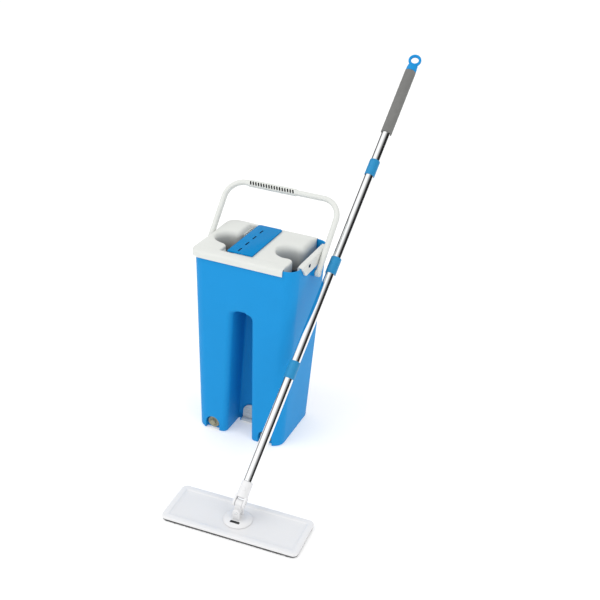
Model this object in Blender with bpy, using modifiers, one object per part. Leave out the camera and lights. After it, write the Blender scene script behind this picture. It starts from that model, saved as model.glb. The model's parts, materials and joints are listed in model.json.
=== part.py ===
"""Flat mop and two-chamber bucket with a lift-out wringer lid.

Metres, +Z up, +X to the right, -Y to the front. The origin is the middle of the bucket's flat base.
The mop stands in front of the bucket on its right-hand side, its handle leaning back past it.
"""

import math

import bmesh
import bpy
from mathutils import Matrix, Vector

# ---------------------------------------------------------------- driving dimensions
GAP = 0.0003  # clearance between pieces that touch

# bucket body
BASE_HALF = (0.092, 0.0765)  # half width and half depth at the base
RIM_HALF = (0.1065, 0.0858)  # the same at the rim
RIM_Z = 0.393
WALL = 0.003
CORNER_R = 0.024
GROOVE_BASE_HALF = 0.0275  # half width of the front and back grooves at the base
GROOVE_TOP_HALF = 0.0205
GROOVE_TOP_Z = RIM_Z - 0.1075
GROOVE_TOP_R = 0.016
WEB_HALF = 0.014  # half thickness of the web that the grooves leave
DIVIDER_HALF = 0.0015

# drain plugs
PLUG_X = 0.058
PLUG_Z = 0.0156
DRAIN_R = 0.008
PLUG_STEM_R = DRAIN_R - 0.0006
PLUG_FLANGE_R = 0.0124
NOTCH_R = PLUG_FLANGE_R + 0.0028
NOTCH_FLOOR_Y = -(BASE_HALF[1] - 0.0100)
SEAL_THICK = 0.0016
FLANGE_THICK = 0.0042
KNOB_R = 0.0052
KNOB_LONG = 0.0042

# foot pedal
PEDAL_HALF = 0.0182
PEDAL_TOP_Z = 0.0405
PEDAL_THICK = 0.0036
PEDAL_PIN_R = 0.0020
PEDAL_PIN_Y = -(WEB_HALF + 0.0060)
PEDAL_PIN_Z = 0.0056
PEDAL_BARREL_R = 0.0044
PEDAL_BORE_CLEAR = 0.0003
PEDAL_LUG_THICK = 0.0025

# wringer lid
LID_PLATE = 0.0032
LID_SKIRT = 0.0024
LID_TOP_Z = RIM_Z + GAP + LID_PLATE
LID_BOTTOM_Z = LID_TOP_Z - 0.0140
LID_HALF_Y = RIM_HALF[1] + 0.0008 + LID_SKIRT
LID_LEFT_X = -(RIM_HALF[0] + 0.0016 + LID_SKIRT)
LID_RIGHT_X = RIM_HALF[0] - 0.0265
LID_CORNER_R = 0.022
COLLAR_WALL = 0.0024
COLLAR_BOTTOM_Z = LID_TOP_Z - 0.0515
INNER_BACK_Y = BASE_HALF[1] + (RIM_HALF[1] - BASE_HALF[1]) * COLLAR_BOTTOM_Z / RIM_Z - WALL
SLOT_Y = (0.0197 - INNER_BACK_Y, INNER_BACK_Y - COLLAR_WALL - 0.0013)  # front and back end of both slots
DRY_LOBE_X = LID_LEFT_X + 0.0530
DRY_SLOT_RIGHT_X = DRY_LOBE_X + 0.0275  # under the cover plate's left edge
DRY_BAY = (LID_LEFT_X + 0.0440, -0.002)
WASH_BAY = (LID_RIGHT_X - 0.0190, -0.004)
BAY_R = 0.028
LOBE_R = 0.012

# wringing comb, scraper cover and lip
RIB_LONG = 0.0048
RIB_THICK = 0.0016
RIB_STEP = 0.0075
COMB_BACK_THICK = 0.0020
COMB_Z = (LID_TOP_Z - 0.0280, LID_TOP_Z - 0.0065)
COVER_X = (DRY_LOBE_X + 0.0140, DRY_LOBE_X + 0.0655)
COVER_Y = (SLOT_Y[0], SLOT_Y[1] + 0.0020)
COVER_THICK = 0.0030
COVER_RECESS = 0.0016
COVER_CORNER_R = 0.006
COVER_FLANGE = 0.0022
COVER_FLANGE_Z = LID_TOP_Z - 0.0305
FLANGE_INSET = 0.0050  # from the cover's left edge
DASH_X = COVER_X[0] + 0.0195
DASH_STEP = 0.0320
DASH_LONG = 0.0160
DASH_WIDE = 0.0028
LIP_OUT = 0.0025
LIP_Z = (LID_TOP_Z - 0.0265, LID_TOP_Z - 0.0085)

# strip over the right-hand rim
STRIP_X = (RIM_HALF[0] - 0.0080, RIM_HALF[0] + 0.0049)
STRIP_Y = (CORNER_R + 0.0018 - RIM_HALF[1], RIM_HALF[1] - CORNER_R - 0.0013)
STRIP_Z = (RIM_Z - 0.0180, RIM_Z + 0.0040)
STRIP_SLOT_Y = -0.0320
STRIP_SLOT_Z = RIM_Z - 0.0030
STRIP_SLOT = (0.0085, 0.0048)

# bail
BAIL_PIVOT_Z = RIM_Z - 0.0298
BAIL_LEAN = 41.7  # degrees back from upright at rest
BAIL_LONG = 0.147
BAIL_BEND_R = 0.037
BAIL_R = 0.0054
BAIL_END_R = 0.0070
BAIL_END_THICK = 0.0096
BAIL_PIN_R = 0.0040
BOSS_R = 0.0078
BOSS_OUT_X = STRIP_X[1]
BAIL_ARM_X = BOSS_OUT_X + 0.0010 + BAIL_END_THICK / 2
BAIL_TOP_HALF = BAIL_ARM_X + 0.0019
GRIP_MID_X = -0.026
GRIP_LONG = 0.104
GRIP_R = 0.0070
GRIP_SLOTS = 17
GRIP_SLOT_WIDE = 0.0024
GRIP_SLOT_DEEP = 0.0026

# mop head, in the head's own frame: X along its length, Z up
HEAD_AT = (RIM_HALF[0] + 0.0092, -0.2292 - RIM_HALF[1])  # its handle leans back past the bucket's side
HEAD_TURN = 2.8
HEAD_HALF = (0.1290, 0.0490)
HEAD_CORNER_R = 0.012
PAD_THICK = 0.0036
HOOK_THICK = 0.0008
HOOK_HALF = (HEAD_HALF[0] - 0.0190, 0.0080)
HOOK_Y = HEAD_HALF[1] - 0.0150
PLATE_THICK = 0.0055
PLATE_Z = (PAD_THICK + HOOK_THICK + 2 * GAP, PAD_THICK + HOOK_THICK + 2 * GAP + PLATE_THICK)
PLATE_BORDER = 0.0110
PLATE_RECESS = 0.0018
BASE_R = 0.0265
BASE_TOP_Z = PLATE_Z[1] + 0.0035
EAR_HALF = 0.0065
EAR_Y = (0.0071, 0.0112)
LOWER_PIN_Z = 0.0300
PIN_RISE = 0.0160  # from the lower pin to the upper pin
PIN_R = 0.0028
PIN_CLEAR = 0.0003
CROSS_HALF = (0.0068, EAR_Y[0] - 0.0005)
SIDE_LEAN = 6.2  # degrees the neck leans to the right at rest
BACK_LEAN = 46.6  # degrees the handle leans back at rest
FORK_X = (CROSS_HALF[0] + 0.0004, CROSS_HALF[0] + 0.0044)
FORK_R = 0.0080
FORK_FLOOR = 0.0090
NECK_R = 0.0104
NECK_TOP = 0.0390

# handle, as distances from the upper pin along its axis
TUBE_R = 0.0090
TUBE_WALL = 0.0008
TUBE_START = NECK_TOP + 0.0004
JOINT_STEP = 0.2174
CONNECTOR_HALF = 0.0172
CONNECTOR_R = TUBE_R + 0.0014
TUBE_GAP = 0.0020
PLUG_HALF = 0.0160
GRIP_START = 0.7727
GRIP_END = 0.9205
GRIP_FOAM_R = TUBE_R + 0.0022
RING_R = 0.0132
RING_HOLE_R = 0.0078
RING_HALF_THICK = 0.0036
RING_AT = GRIP_END + 0.0280

ROUND = 32  # sides of a round piece


# ---------------------------------------------------------------- scene and small helpers
def clear_scene():
    for item in list(bpy.data.objects):
        bpy.data.objects.remove(item, do_unlink=True)


def new_collection(name):
    made = bpy.data.collections.new(name)
    bpy.context.scene.collection.children.link(made)
    return made


def material(name, colour, roughness, metallic=0.0):
    made = bpy.data.materials.new(name)
    made.use_nodes = True
    shader = made.node_tree.nodes["Principled BSDF"]
    shader.inputs["Base Color"].default_value = (*colour, 1.0)
    shader.inputs["Roughness"].default_value = roughness
    shader.inputs["Metallic"].default_value = metallic
    made.diffuse_color = (*colour, 1.0)
    return made


def place(obj, collection, parent=None, at=(0, 0, 0), turn=(0, 0, 0)):
    collection.objects.link(obj)
    obj.parent = parent
    obj.location = at
    obj.rotation_euler = [math.radians(angle) for angle in turn]
    return obj


def piece(name, mesh, finish, parent=None, at=(0, 0, 0), turn=(0, 0, 0)):
    """A named sub-part with its material, shaded smooth across its rounded faces."""
    mesh.materials.clear()
    mesh.materials.append(finish)
    mesh.shade_smooth()
    mesh.set_sharp_from_angle(angle=math.radians(35))
    return place(bpy.data.objects.new(name, mesh), PARTS, parent, at, turn)


def helper(name, mesh, parent=None, at=(0, 0, 0), turn=(0, 0, 0)):
    """A cutter or a shape that is joined into a piece: never a sub-part of its own."""
    made = place(bpy.data.objects.new(name, mesh), CUTTERS, parent, at, turn)
    made.hide_render = True
    made.display_type = "WIRE"
    return made


def pivot(name, parent=None, at=(0, 0, 0), turn=(0, 0, 0)):
    return place(bpy.data.objects.new(name, None), PARTS, parent, at, turn)


def combine(target, operation, *others):
    for other in others:
        change = target.modifiers.new(f"{operation.lower()}_{other.name}", "BOOLEAN")
        change.operation = operation
        change.solver = "EXACT"
        change.object = other
    return target


def cut(target, *others):
    return combine(target, "DIFFERENCE", *others)


def join(target, *others):
    return combine(target, "UNION", *others)


def mesh_of(bm, name):
    bmesh.ops.recalc_face_normals(bm, faces=bm.faces)
    mesh = bpy.data.meshes.new(name)
    bm.to_mesh(mesh)
    bm.free()
    return mesh


def box(name, low, high, edge_r=0.0, edge_axis=2, segments=4):
    """A box between two corners, its four edges along one axis rounded."""
    bm = bmesh.new()
    middle = [(a + b) / 2 for a, b in zip(low, high)]
    size = [b - a for a, b in zip(low, high)]
    bmesh.ops.create_cube(bm, size=1.0, matrix=Matrix.Translation(middle) @ Matrix.Diagonal((*size, 1)))
    if edge_r:
        round_edges(bm, edge_axis, edge_r, segments)
    return mesh_of(bm, name)


def round_edges(bm, axis, radius, segments):
    others = [i for i in range(3) if i != axis]

    def runs_along(edge):
        step = edge.verts[1].co - edge.verts[0].co
        return abs(step[axis]) > 4 * max(abs(step[i]) for i in others)

    edges = [edge for edge in bm.edges if runs_along(edge)]
    bmesh.ops.bevel(bm, geom=edges, offset=radius, segments=segments, profile=0.5, affect="EDGES")


def tapered_block(name, low_half, high_half, low_z, high_z, corner_r, segments=6):
    """An upright block whose section grows from low_z to high_z, its four uprights rounded."""
    bm = bmesh.new()
    bmesh.ops.create_cube(bm, size=2.0)
    for vert in bm.verts:
        high = vert.co.z > 0
        half = high_half if high else low_half
        vert.co = (vert.co.x * half[0], vert.co.y * half[1], high_z if high else low_z)
    round_edges(bm, 2, corner_r, segments)
    return mesh_of(bm, name)


def rod(name, radius, low, high, axis="Z", sides=ROUND):
    """A cylinder about one axis between two places on it."""
    turns = {"X": Matrix.Rotation(math.pi / 2, 4, "Y"), "Y": Matrix.Rotation(math.pi / 2, 4, "X"), "Z": Matrix()}
    bm = bmesh.new()
    middle = Vector([(low + high) / 2 if axis == letter else 0.0 for letter in "XYZ"])
    bmesh.ops.create_cone(
        bm,
        cap_ends=True,
        segments=sides,
        radius1=radius,
        radius2=radius,
        depth=high - low,
        matrix=Matrix.Translation(middle) @ turns[axis],
    )
    return mesh_of(bm, name)


def turned(name, outline, sides=ROUND):
    """A closed outline of (radius, height) turned about Z. It runs down the outer side first."""
    mesh = bpy.data.meshes.new(name)
    on_axis = [radius < 1e-9 for radius, _ in outline]
    steps = [(i, i + 1) for i in range(len(outline) - 1)]
    if not (on_axis[0] and on_axis[-1]):
        steps.append((len(outline) - 1, 0))
    mesh.from_pydata([(radius, 0.0, height) for radius, height in outline], steps, [])
    spun = bpy.data.objects.new(name, mesh)
    CUTTERS.objects.link(spun)
    screw = spun.modifiers.new("turn", "SCREW")
    screw.axis = "Z"
    screw.steps = sides
    screw.render_steps = sides
    screw.use_merge_vertices = True
    screw.merge_threshold = 1e-6
    return baked(spun)


def baked(obj):
    """The evaluated mesh of a construction object, welded, with its normals set; the object is removed."""
    bpy.context.view_layer.update()
    graph = bpy.context.evaluated_depsgraph_get()
    mesh = bpy.data.meshes.new_from_object(obj.evaluated_get(graph))
    bm = bmesh.new()
    bm.from_mesh(mesh)
    bmesh.ops.remove_doubles(bm, verts=bm.verts, dist=1e-6)
    name = obj.name
    bpy.data.objects.remove(obj, do_unlink=True)
    return mesh_of(bm, name)


def outline_plate(name, points, low_z, high_z):
    """A flat outline with a thickness, from low_z to high_z."""
    curve = bpy.data.curves.new(name, "CURVE")
    curve.dimensions = "2D"
    curve.fill_mode = "BOTH"
    curve.extrude = (high_z - low_z) / 2
    spline = curve.splines.new("POLY")
    spline.points.add(len(points) - 1)
    for point, (x, y) in zip(spline.points, points):
        point.co = (x, y, 0.0, 1.0)
    spline.use_cyclic_u = True
    flat = bpy.data.objects.new(name, curve)
    CUTTERS.objects.link(flat)
    mesh = baked(flat)
    mesh.transform(Matrix.Translation((0, 0, (low_z + high_z) / 2)))
    return mesh


def tab(name, half, low_z, centre_z, ends, axis):
    """A flat tab with a round top, as thick as the two ends along its axis are apart."""
    points = [(half, low_z)] + arc((0, centre_z), half, 0, 180, 14) + [(-half, low_z)]
    mesh = outline_plate(name, points, -ends[1], -ends[0])
    mesh.transform(Matrix.Rotation(math.pi / 2, 4, "X"))
    if axis == "X":
        mesh.transform(Matrix.Rotation(-math.pi / 2, 4, "Z"))
    return mesh


def arc(centre, radius, start, end, steps):
    """Points on an arc, in degrees."""
    angles = [math.radians(start + (end - start) * i / steps) for i in range(steps + 1)]
    return [(centre[0] + radius * math.cos(a), centre[1] + radius * math.sin(a)) for a in angles]


def rounded_rectangle(low, high, radii, steps=5):
    """Corner radii in the order front right, back right, back left, front left; zero is a sharp corner."""
    corners = [(high[0], low[1], -90, 1, -1), (high[0], high[1], 0, 1, 1)]
    corners += [(low[0], high[1], 90, -1, 1), (low[0], low[1], 180, -1, -1)]
    points = []
    for (x, y, start, sx, sy), radius in zip(corners, radii):
        if radius:
            points += arc((x - sx * radius, y - sy * radius), radius, start, start + 90, steps)
        else:
            points.append((x, y))
    return points


def wavy_side(lobe_x, bay, reach=0.0, steps=5):
    """A slot's left side from back to front: straight lobes with a round bay between them.

    The corners between lobe and bay are rounded. reach moves the side outwards, into the material.
    """
    side_x = lobe_x - reach
    bay_r = BAY_R + reach
    lobe_r = LOBE_R - reach
    mid_x = side_x - lobe_r
    offset = math.sqrt((bay_r + lobe_r) ** 2 - (mid_x - bay[0]) ** 2)
    lean = math.degrees(math.atan2(offset, mid_x - bay[0]))
    back = arc((mid_x, bay[1] + offset), lobe_r, 0, lean - 180, steps)
    middle = arc(bay, bay_r, lean, 360 - lean, 2 * steps + 2)
    front = arc((mid_x, bay[1] - offset), lobe_r, 180 - lean, 0, steps)
    return back + middle[1:-1] + front


def slot_outline(lobe_x, right_x, bay, reach=0.0):
    front = SLOT_Y[0] - reach
    back = SLOT_Y[1] + reach
    return [(right_x, front), (right_x, back), (lobe_x - reach, back)] + wavy_side(lobe_x, bay, reach) + [
        (lobe_x - reach, front)
    ]


# ---------------------------------------------------------------- bucket
def wall_half(z, axis):
    """Half width (0) or half depth (1) of the bucket's outer face at a height."""
    return BASE_HALF[axis] + (RIM_HALF[axis] - BASE_HALF[axis]) * z / RIM_Z


def groove_cutter(name, side, grow=0.0):
    """The arch-topped space of the front (-1) or back (1) groove, grown by a wall where asked."""
    reach = 0.12
    bm = bmesh.new()
    bmesh.ops.create_cube(bm, size=2.0)
    low_z = -0.01
    slope = (GROOVE_BASE_HALF - GROOVE_TOP_HALF) / GROOVE_TOP_Z
    for vert in bm.verts:
        high = vert.co.z > 0
        z = GROOVE_TOP_Z + grow if high else low_z
        inner = vert.co.y * side < 0
        y = side * (WEB_HALF - grow) if inner else side * reach
        vert.co = (vert.co.x * (GROOVE_BASE_HALF - slope * z + grow), y, z)
    top = [e for e in bm.edges if all(v.co.z > 0.1 for v in e.verts) and abs(e.verts[0].co.y - e.verts[1].co.y) > 0.01]
    bmesh.ops.bevel(bm, geom=top, offset=GROOVE_TOP_R + grow, segments=6, profile=0.5, affect="EDGES")
    return helper(name, mesh_of(bm, name))


def notch_cutter(name, x, grow=0.0):
    """The arch-shaped recess round a drain plug."""
    radius = NOTCH_R + grow
    low_z = -0.01
    points = [(x + radius, low_z)] + arc((x, PLUG_Z), radius, 0, 180, 12) + [(x - radius, low_z)]
    mesh = outline_plate(name, points, 0.0, 0.12)
    mesh.transform(Matrix.Translation((0, NOTCH_FLOOR_Y + grow, 0)) @ Matrix.Rotation(math.pi / 2, 4, "X"))
    return helper(name, mesh)


def bucket_body(finish):
    shell = tapered_block("bucket_body", BASE_HALF, RIM_HALF, 0.0, RIM_Z, CORNER_R)
    body = piece("bucket_body", shell, finish)
    over = 0.02
    inner_base = tuple(wall_half(WALL, i) - WALL for i in range(2))
    inner_top = tuple(wall_half(RIM_Z + over, i) - WALL for i in range(2))
    cavity = helper(
        "bucket_cavity", tapered_block("bucket_cavity", inner_base, inner_top, WALL, RIM_Z + over, CORNER_R - WALL)
    )
    cut(cavity, groove_cutter("front_groove_wall", -1, WALL), groove_cutter("back_groove_wall", 1, WALL))
    for side, name in ((-1, "dry"), (1, "wash")):
        cut(cavity, notch_cutter(f"notch_wall_{name}", side * PLUG_X, WALL))
    divider = box("divider", (-DIVIDER_HALF, -0.2, -0.01), (DIVIDER_HALF, 0.2, RIM_Z - 0.032))
    cut(cavity, helper("divider", divider))
    cut(body, cavity, groove_cutter("front_groove", -1), groove_cutter("back_groove", 1))
    for side, name in ((-1, "dry"), (1, "wash")):
        cut(body, notch_cutter(f"notch_{name}", side * PLUG_X))
        drain = rod(f"drain_{name}", DRAIN_R, NOTCH_FLOOR_Y - 0.004, NOTCH_FLOOR_Y + 0.008, "Y", 24)
        cut(body, helper(f"drain_{name}", drain, at=(side * PLUG_X, 0, PLUG_Z)))
    add_pivot_bosses(body)
    add_pedal_lugs(body)
    return body


def add_pivot_bosses(body):
    """A boss on each side wall with a blind hole for the bail's pin."""
    for side, name in ((-1, "left"), (1, "right")):
        inside = wall_half(BAIL_PIVOT_Z, 0) - 0.0045
        ends = sorted((side * inside, side * BOSS_OUT_X))
        boss = helper(f"boss_{name}", rod(f"boss_{name}", BOSS_R, *ends, "X", 24), at=(0, 0, BAIL_PIVOT_Z))
        hole_ends = sorted((side * (inside + 0.002), side * (BOSS_OUT_X + 0.01)))
        hole_r = BAIL_PIN_R + PIN_CLEAR
        hole = helper(f"boss_hole_{name}", rod(f"boss_hole_{name}", hole_r, *hole_ends, "X", 20), at=(0, 0, BAIL_PIVOT_Z))
        join(body, boss)
        cut(body, hole)


def add_pedal_lugs(body):
    """Two lugs on the web's front face that carry the pedal's pin."""
    inner = PEDAL_HALF + GAP
    front = PEDAL_PIN_Y - PEDAL_PIN_R - 0.0024
    for side, name in ((-1, "left"), (1, "right")):
        ends = sorted((side * inner, side * (inner + PEDAL_LUG_THICK)))
        lug = box(f"lug_{name}", (ends[0], front, 0.0008), (ends[1], -WEB_HALF + 0.001, 2 * PEDAL_PIN_Z))
        join(body, helper(f"lug_{name}", lug))
    reach = inner + PEDAL_LUG_THICK - 0.0010
    bore = rod("lug_bore", PEDAL_PIN_R + PEDAL_BORE_CLEAR, -reach, reach, "X", 20)
    cut(body, helper("lug_bore", bore, at=(0, PEDAL_PIN_Y, PEDAL_PIN_Z)))


def drain_plug(side, name, finish, rubber):
    """A push-in plug: stem in the drain hole, flange on its seal, and a knob to pull it by."""
    floor = -NOTCH_FLOOR_Y
    seal_in = floor + GAP
    seal_out = seal_in + SEAL_THICK
    flange_in = seal_out + GAP
    flange_out = flange_in + FLANGE_THICK
    tip = flange_out + KNOB_LONG
    stem_end = floor - 0.0035
    outline = [
        (0.0, tip),
        (KNOB_R - 0.001, tip),
        (KNOB_R, tip - 0.001),
        (KNOB_R, flange_out),
        (PLUG_FLANGE_R - 0.0008, flange_out),
        (PLUG_FLANGE_R, flange_out - 0.0008),
        (PLUG_FLANGE_R, flange_in),
        (PLUG_STEM_R, flange_in),
        (PLUG_STEM_R, stem_end),
        (0.0, stem_end),
    ]
    at = (side * PLUG_X, 0, PLUG_Z)
    piece(f"drain_plug_{name}", turned(f"drain_plug_{name}", outline), finish, at=at, turn=(90, 0, 0))
    inner = PLUG_STEM_R + GAP
    ring = [(PLUG_FLANGE_R, seal_out), (PLUG_FLANGE_R, seal_in), (inner, seal_in), (inner, seal_out)]
    piece(f"plug_seal_{name}", turned(f"plug_seal_{name}", ring), rubber, at=at, turn=(90, 0, 0))


def foot_pedal(finish, steel):
    """A half-round flap with a barrel round its pin, folded up against the web."""
    hinge = pivot("pedal_hinge", at=(0, PEDAL_PIN_Y, PEDAL_PIN_Z))
    back = -WEB_HALF - PEDAL_PIN_Y - GAP
    rise = PEDAL_TOP_Z - PEDAL_PIN_Z
    shoulder = rise - PEDAL_HALF
    outline = [(PEDAL_HALF, 0.0)] + arc((0, shoulder), PEDAL_HALF, 0, 180, 16) + [(-PEDAL_HALF, 0.0)]
    flap = outline_plate("foot_pedal", outline, -back, -back + PEDAL_THICK)
    flap.transform(Matrix.Rotation(math.pi / 2, 4, "X"))
    pedal = piece("foot_pedal", flap, finish, hinge)
    barrel = rod("pedal_barrel", PEDAL_BARREL_R, -PEDAL_HALF, PEDAL_HALF, "X", 24)
    join(pedal, helper("pedal_barrel", barrel, hinge))
    bore = rod("pedal_bore", PEDAL_PIN_R + PEDAL_BORE_CLEAR, -0.03, 0.03, "X", 20)
    cut(pedal, helper("pedal_bore", bore, hinge))
    half = PEDAL_HALF + GAP + PEDAL_LUG_THICK - 0.0013
    piece("pedal_pin", rod("pedal_pin", PEDAL_PIN_R, -half, half, "X", 20), steel, hinge)


# ---------------------------------------------------------------- wringer lid
def wringer_lid(finish):
    left_radii = (0, 0, LID_CORNER_R, LID_CORNER_R)
    low = (LID_LEFT_X, -LID_HALF_Y)
    high = (LID_RIGHT_X, LID_HALF_Y)
    lid = piece(
        "wringer_lid",
        outline_plate("wringer_lid", rounded_rectangle(low, high, left_radii), LID_BOTTOM_Z, LID_TOP_Z),
        finish,
    )
    inside_radii = (0, 0, LID_CORNER_R - LID_SKIRT, LID_CORNER_R - LID_SKIRT)
    inside_low = (LID_LEFT_X + LID_SKIRT, -LID_HALF_Y + LID_SKIRT)
    inside_high = (LID_RIGHT_X + 0.01, LID_HALF_Y - LID_SKIRT)
    inside = outline_plate(
        "lid_inside", rounded_rectangle(inside_low, inside_high, inside_radii), 0.3, LID_TOP_Z - LID_PLATE
    )
    cut(lid, helper("lid_inside", inside))
    join(lid, collar("dry_collar", DRY_LOBE_X, DRY_SLOT_RIGHT_X, DRY_BAY))
    join(lid, collar("wash_collar", LID_RIGHT_X, LID_RIGHT_X + 0.0001, WASH_BAY))
    dry = outline_plate("dry_slot", slot_outline(DRY_LOBE_X, DRY_SLOT_RIGHT_X, DRY_BAY), 0.3, 0.45)
    wash = outline_plate("wash_slot", slot_outline(LID_RIGHT_X, LID_RIGHT_X + 0.03, WASH_BAY), 0.3, 0.45)
    cut(lid, helper("dry_slot", dry), helper("wash_slot", wash))
    recess_low = (COVER_X[0] - 0.01, COVER_Y[0] - GAP)
    recess_high = (COVER_X[1] + GAP, COVER_Y[1] + GAP)
    radius = COVER_CORNER_R + GAP
    recess = rounded_rectangle(recess_low, recess_high, (0, radius, 0, 0))
    cut(lid, helper("cover_recess", outline_plate("cover_recess", recess, LID_TOP_Z - COVER_RECESS, 0.45)))
    return lid


def collar(name, lobe_x, right_x, bay):
    """The wall that goes down round a slot, before the slot itself is cut."""
    top = LID_TOP_Z - LID_PLATE / 2
    return helper(name, outline_plate(name, slot_outline(lobe_x, right_x, bay, COLLAR_WALL), COLLAR_BOTTOM_Z, top))


def wringing_comb(name, finish, low_y, high_y):
    """Upright ribs on a lobe of the dry slot, which press the pad against the scraper lip."""
    left = DRY_LOBE_X + GAP
    comb = piece(name, box(name, (left, low_y, COMB_Z[0]), (left + COMB_BACK_THICK, high_y, COMB_Z[1])), finish)
    count = int((high_y - low_y) / RIB_STEP)
    margin = (high_y - low_y - (count - 1) * RIB_STEP) / 2
    for i in range(count):
        middle = low_y + margin + i * RIB_STEP
        rib_name = f"{name}_rib_{i + 1}"
        rib = box(
            rib_name,
            (left + COMB_BACK_THICK / 2, middle - RIB_THICK / 2, COMB_Z[0] + 0.001),
            (left + RIB_LONG, middle + RIB_THICK / 2, COMB_Z[1] - 0.001),
        )
        join(comb, helper(rib_name, rib))
    return comb


def scraper_cover(finish, rubber):
    """The plate between the slots, with a flange that carries the scraper lip."""
    low_z = LID_TOP_Z - COVER_RECESS + GAP
    high_z = low_z + COVER_THICK
    radii = (0, COVER_CORNER_R, COVER_CORNER_R, 0)
    low = (COVER_X[0], COVER_Y[0])
    high = (COVER_X[1], COVER_Y[1])
    cover = piece(
        "scraper_cover", outline_plate("scraper_cover", rounded_rectangle(low, high, radii), low_z, high_z), finish
    )
    flange_y = (SLOT_Y[0] + 0.004, SLOT_Y[1] - 0.008)
    flange_x = (COVER_X[0] + FLANGE_INSET, COVER_X[0] + FLANGE_INSET + COVER_FLANGE)
    flange = box("cover_flange", (flange_x[0], flange_y[0], COVER_FLANGE_Z), (flange_x[1], flange_y[1], low_z + 0.001))
    join(cover, helper("cover_flange", flange))
    for i in range(4):
        middle = DASH_STEP * (i - 1.5)
        dash = box(
            f"dash_{i + 1}",
            (DASH_X - DASH_WIDE / 2, middle - DASH_LONG / 2, low_z - 0.002),
            (DASH_X + DASH_WIDE / 2, middle + DASH_LONG / 2, high_z + 0.002),
        )
        cut(cover, helper(f"dash_{i + 1}", dash))
    back = flange_x[0] - GAP
    lip = box("scraper_lip", (back - LIP_OUT, flange_y[0], LIP_Z[0]), (back, flange_y[1], LIP_Z[1]), 0.0008, 1, 2)
    piece("scraper_lip", lip, rubber)


def rim_strip(finish):
    """The channel clipped over the bucket's right-hand rim, with a small slot in its outer face."""
    strip = piece(
        "rim_strip",
        box("rim_strip", (STRIP_X[0], STRIP_Y[0], STRIP_Z[0]), (STRIP_X[1], STRIP_Y[1], STRIP_Z[1]), 0.0022, 1, 4),
        finish,
    )
    rim_out = RIM_HALF[0] + GAP
    rim_in = RIM_HALF[0] - WALL - (RIM_HALF[0] - wall_half(STRIP_Z[0], 0)) - GAP
    channel = box("strip_channel", (rim_in, -0.2, 0.3), (rim_out, 0.2, RIM_Z + GAP))
    inner_cut = box("strip_inner_cut", (0.0, -0.2, 0.3), (rim_in + 0.001, 0.2, STRIP_Z[0] + 0.012))
    cut(strip, helper("strip_channel", channel), helper("strip_inner_cut", inner_cut))
    half = (STRIP_SLOT[0] / 2, STRIP_SLOT[1] / 2)
    slot = box(
        "strip_slot",
        (rim_out - 0.001, STRIP_SLOT_Y - half[0], STRIP_SLOT_Z - half[1]),
        (STRIP_X[1] + 0.01, STRIP_SLOT_Y + half[0], STRIP_SLOT_Z + half[1]),
    )
    cut(strip, helper("strip_slot", slot))
    return strip


# ---------------------------------------------------------------- bail
def bail_path():
    """The bail's centre line in its own plane: up one arm, over the bar and down the other."""
    right = Vector((BAIL_ARM_X, 0.0))
    corner = Vector((BAIL_TOP_HALF, BAIL_LONG))
    along = (corner - right).normalized()
    across = Vector((-1.0, 0.0))
    half_turn = math.acos(max(-1.0, min(1.0, along.dot(across)))) / 2
    setback = BAIL_BEND_R * math.tan(half_turn)
    start = corner - along * setback
    centre = start + Vector((-along.y, along.x)) * BAIL_BEND_R
    first = math.degrees(math.atan2(start.y - centre.y, start.x - centre.x))
    bend = arc(centre, BAIL_BEND_R, first, 90, 8)
    half = [tuple(right)] + bend
    return half + [(-x, y) for x, y in reversed(half)]


def bail_handle(finish):
    """One moulding: two arms with pins, a bar, and a thicker grip with a row of grooves across it."""
    swing = pivot("bail_pivot", at=(0, 0, BAIL_PIVOT_Z), turn=(-BAIL_LEAN, 0, 0))
    curve = bpy.data.curves.new("bail_bar", "CURVE")
    curve.dimensions = "3D"
    curve.bevel_depth = BAIL_R
    curve.bevel_resolution = 3
    curve.use_fill_caps = True
    spline = curve.splines.new("POLY")
    points = bail_path()
    spline.points.add(len(points) - 1)
    for point, (x, z) in zip(spline.points, points):
        point.co = (x, 0.0, z, 1.0)
    bar = bpy.data.objects.new("bail_bar", curve)
    CUTTERS.objects.link(bar)
    bail = piece("bail_handle", baked(bar), finish, swing)
    for side, name in ((-1, "left"), (1, "right")):
        middle = side * BAIL_ARM_X
        ends = (middle - BAIL_END_THICK / 2, middle + BAIL_END_THICK / 2)
        join(bail, helper(f"bail_end_{name}", rod(f"bail_end_{name}", BAIL_END_R, *ends, "X", 24), swing))
        pin_ends = sorted((side * (wall_half(BAIL_PIVOT_Z, 0) - 0.001), middle))
        join(bail, helper(f"bail_pin_{name}", rod(f"bail_pin_{name}", BAIL_PIN_R, *pin_ends, "X", 20), swing))
    grip_ends = (GRIP_MID_X - GRIP_LONG / 2, GRIP_MID_X + GRIP_LONG / 2)
    grip = helper("bail_grip", rod("bail_grip", GRIP_R, *grip_ends, "X", 20), swing, at=(0, 0, BAIL_LONG))
    join(bail, grip)
    step = (GRIP_LONG - 0.008) / GRIP_SLOTS
    for i in range(GRIP_SLOTS):
        x = GRIP_MID_X + step * (i - (GRIP_SLOTS - 1) / 2)
        slot = box(
            f"grip_slot_{i + 1}",
            (x - GRIP_SLOT_WIDE / 2, -GRIP_R - 0.002, BAIL_LONG - GRIP_R * 0.55),
            (x + GRIP_SLOT_WIDE / 2, -GRIP_R + GRIP_SLOT_DEEP, BAIL_LONG + GRIP_R * 0.55),
        )
        cut(bail, helper(f"grip_slot_{i + 1}", slot, swing))
    return bail


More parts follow.
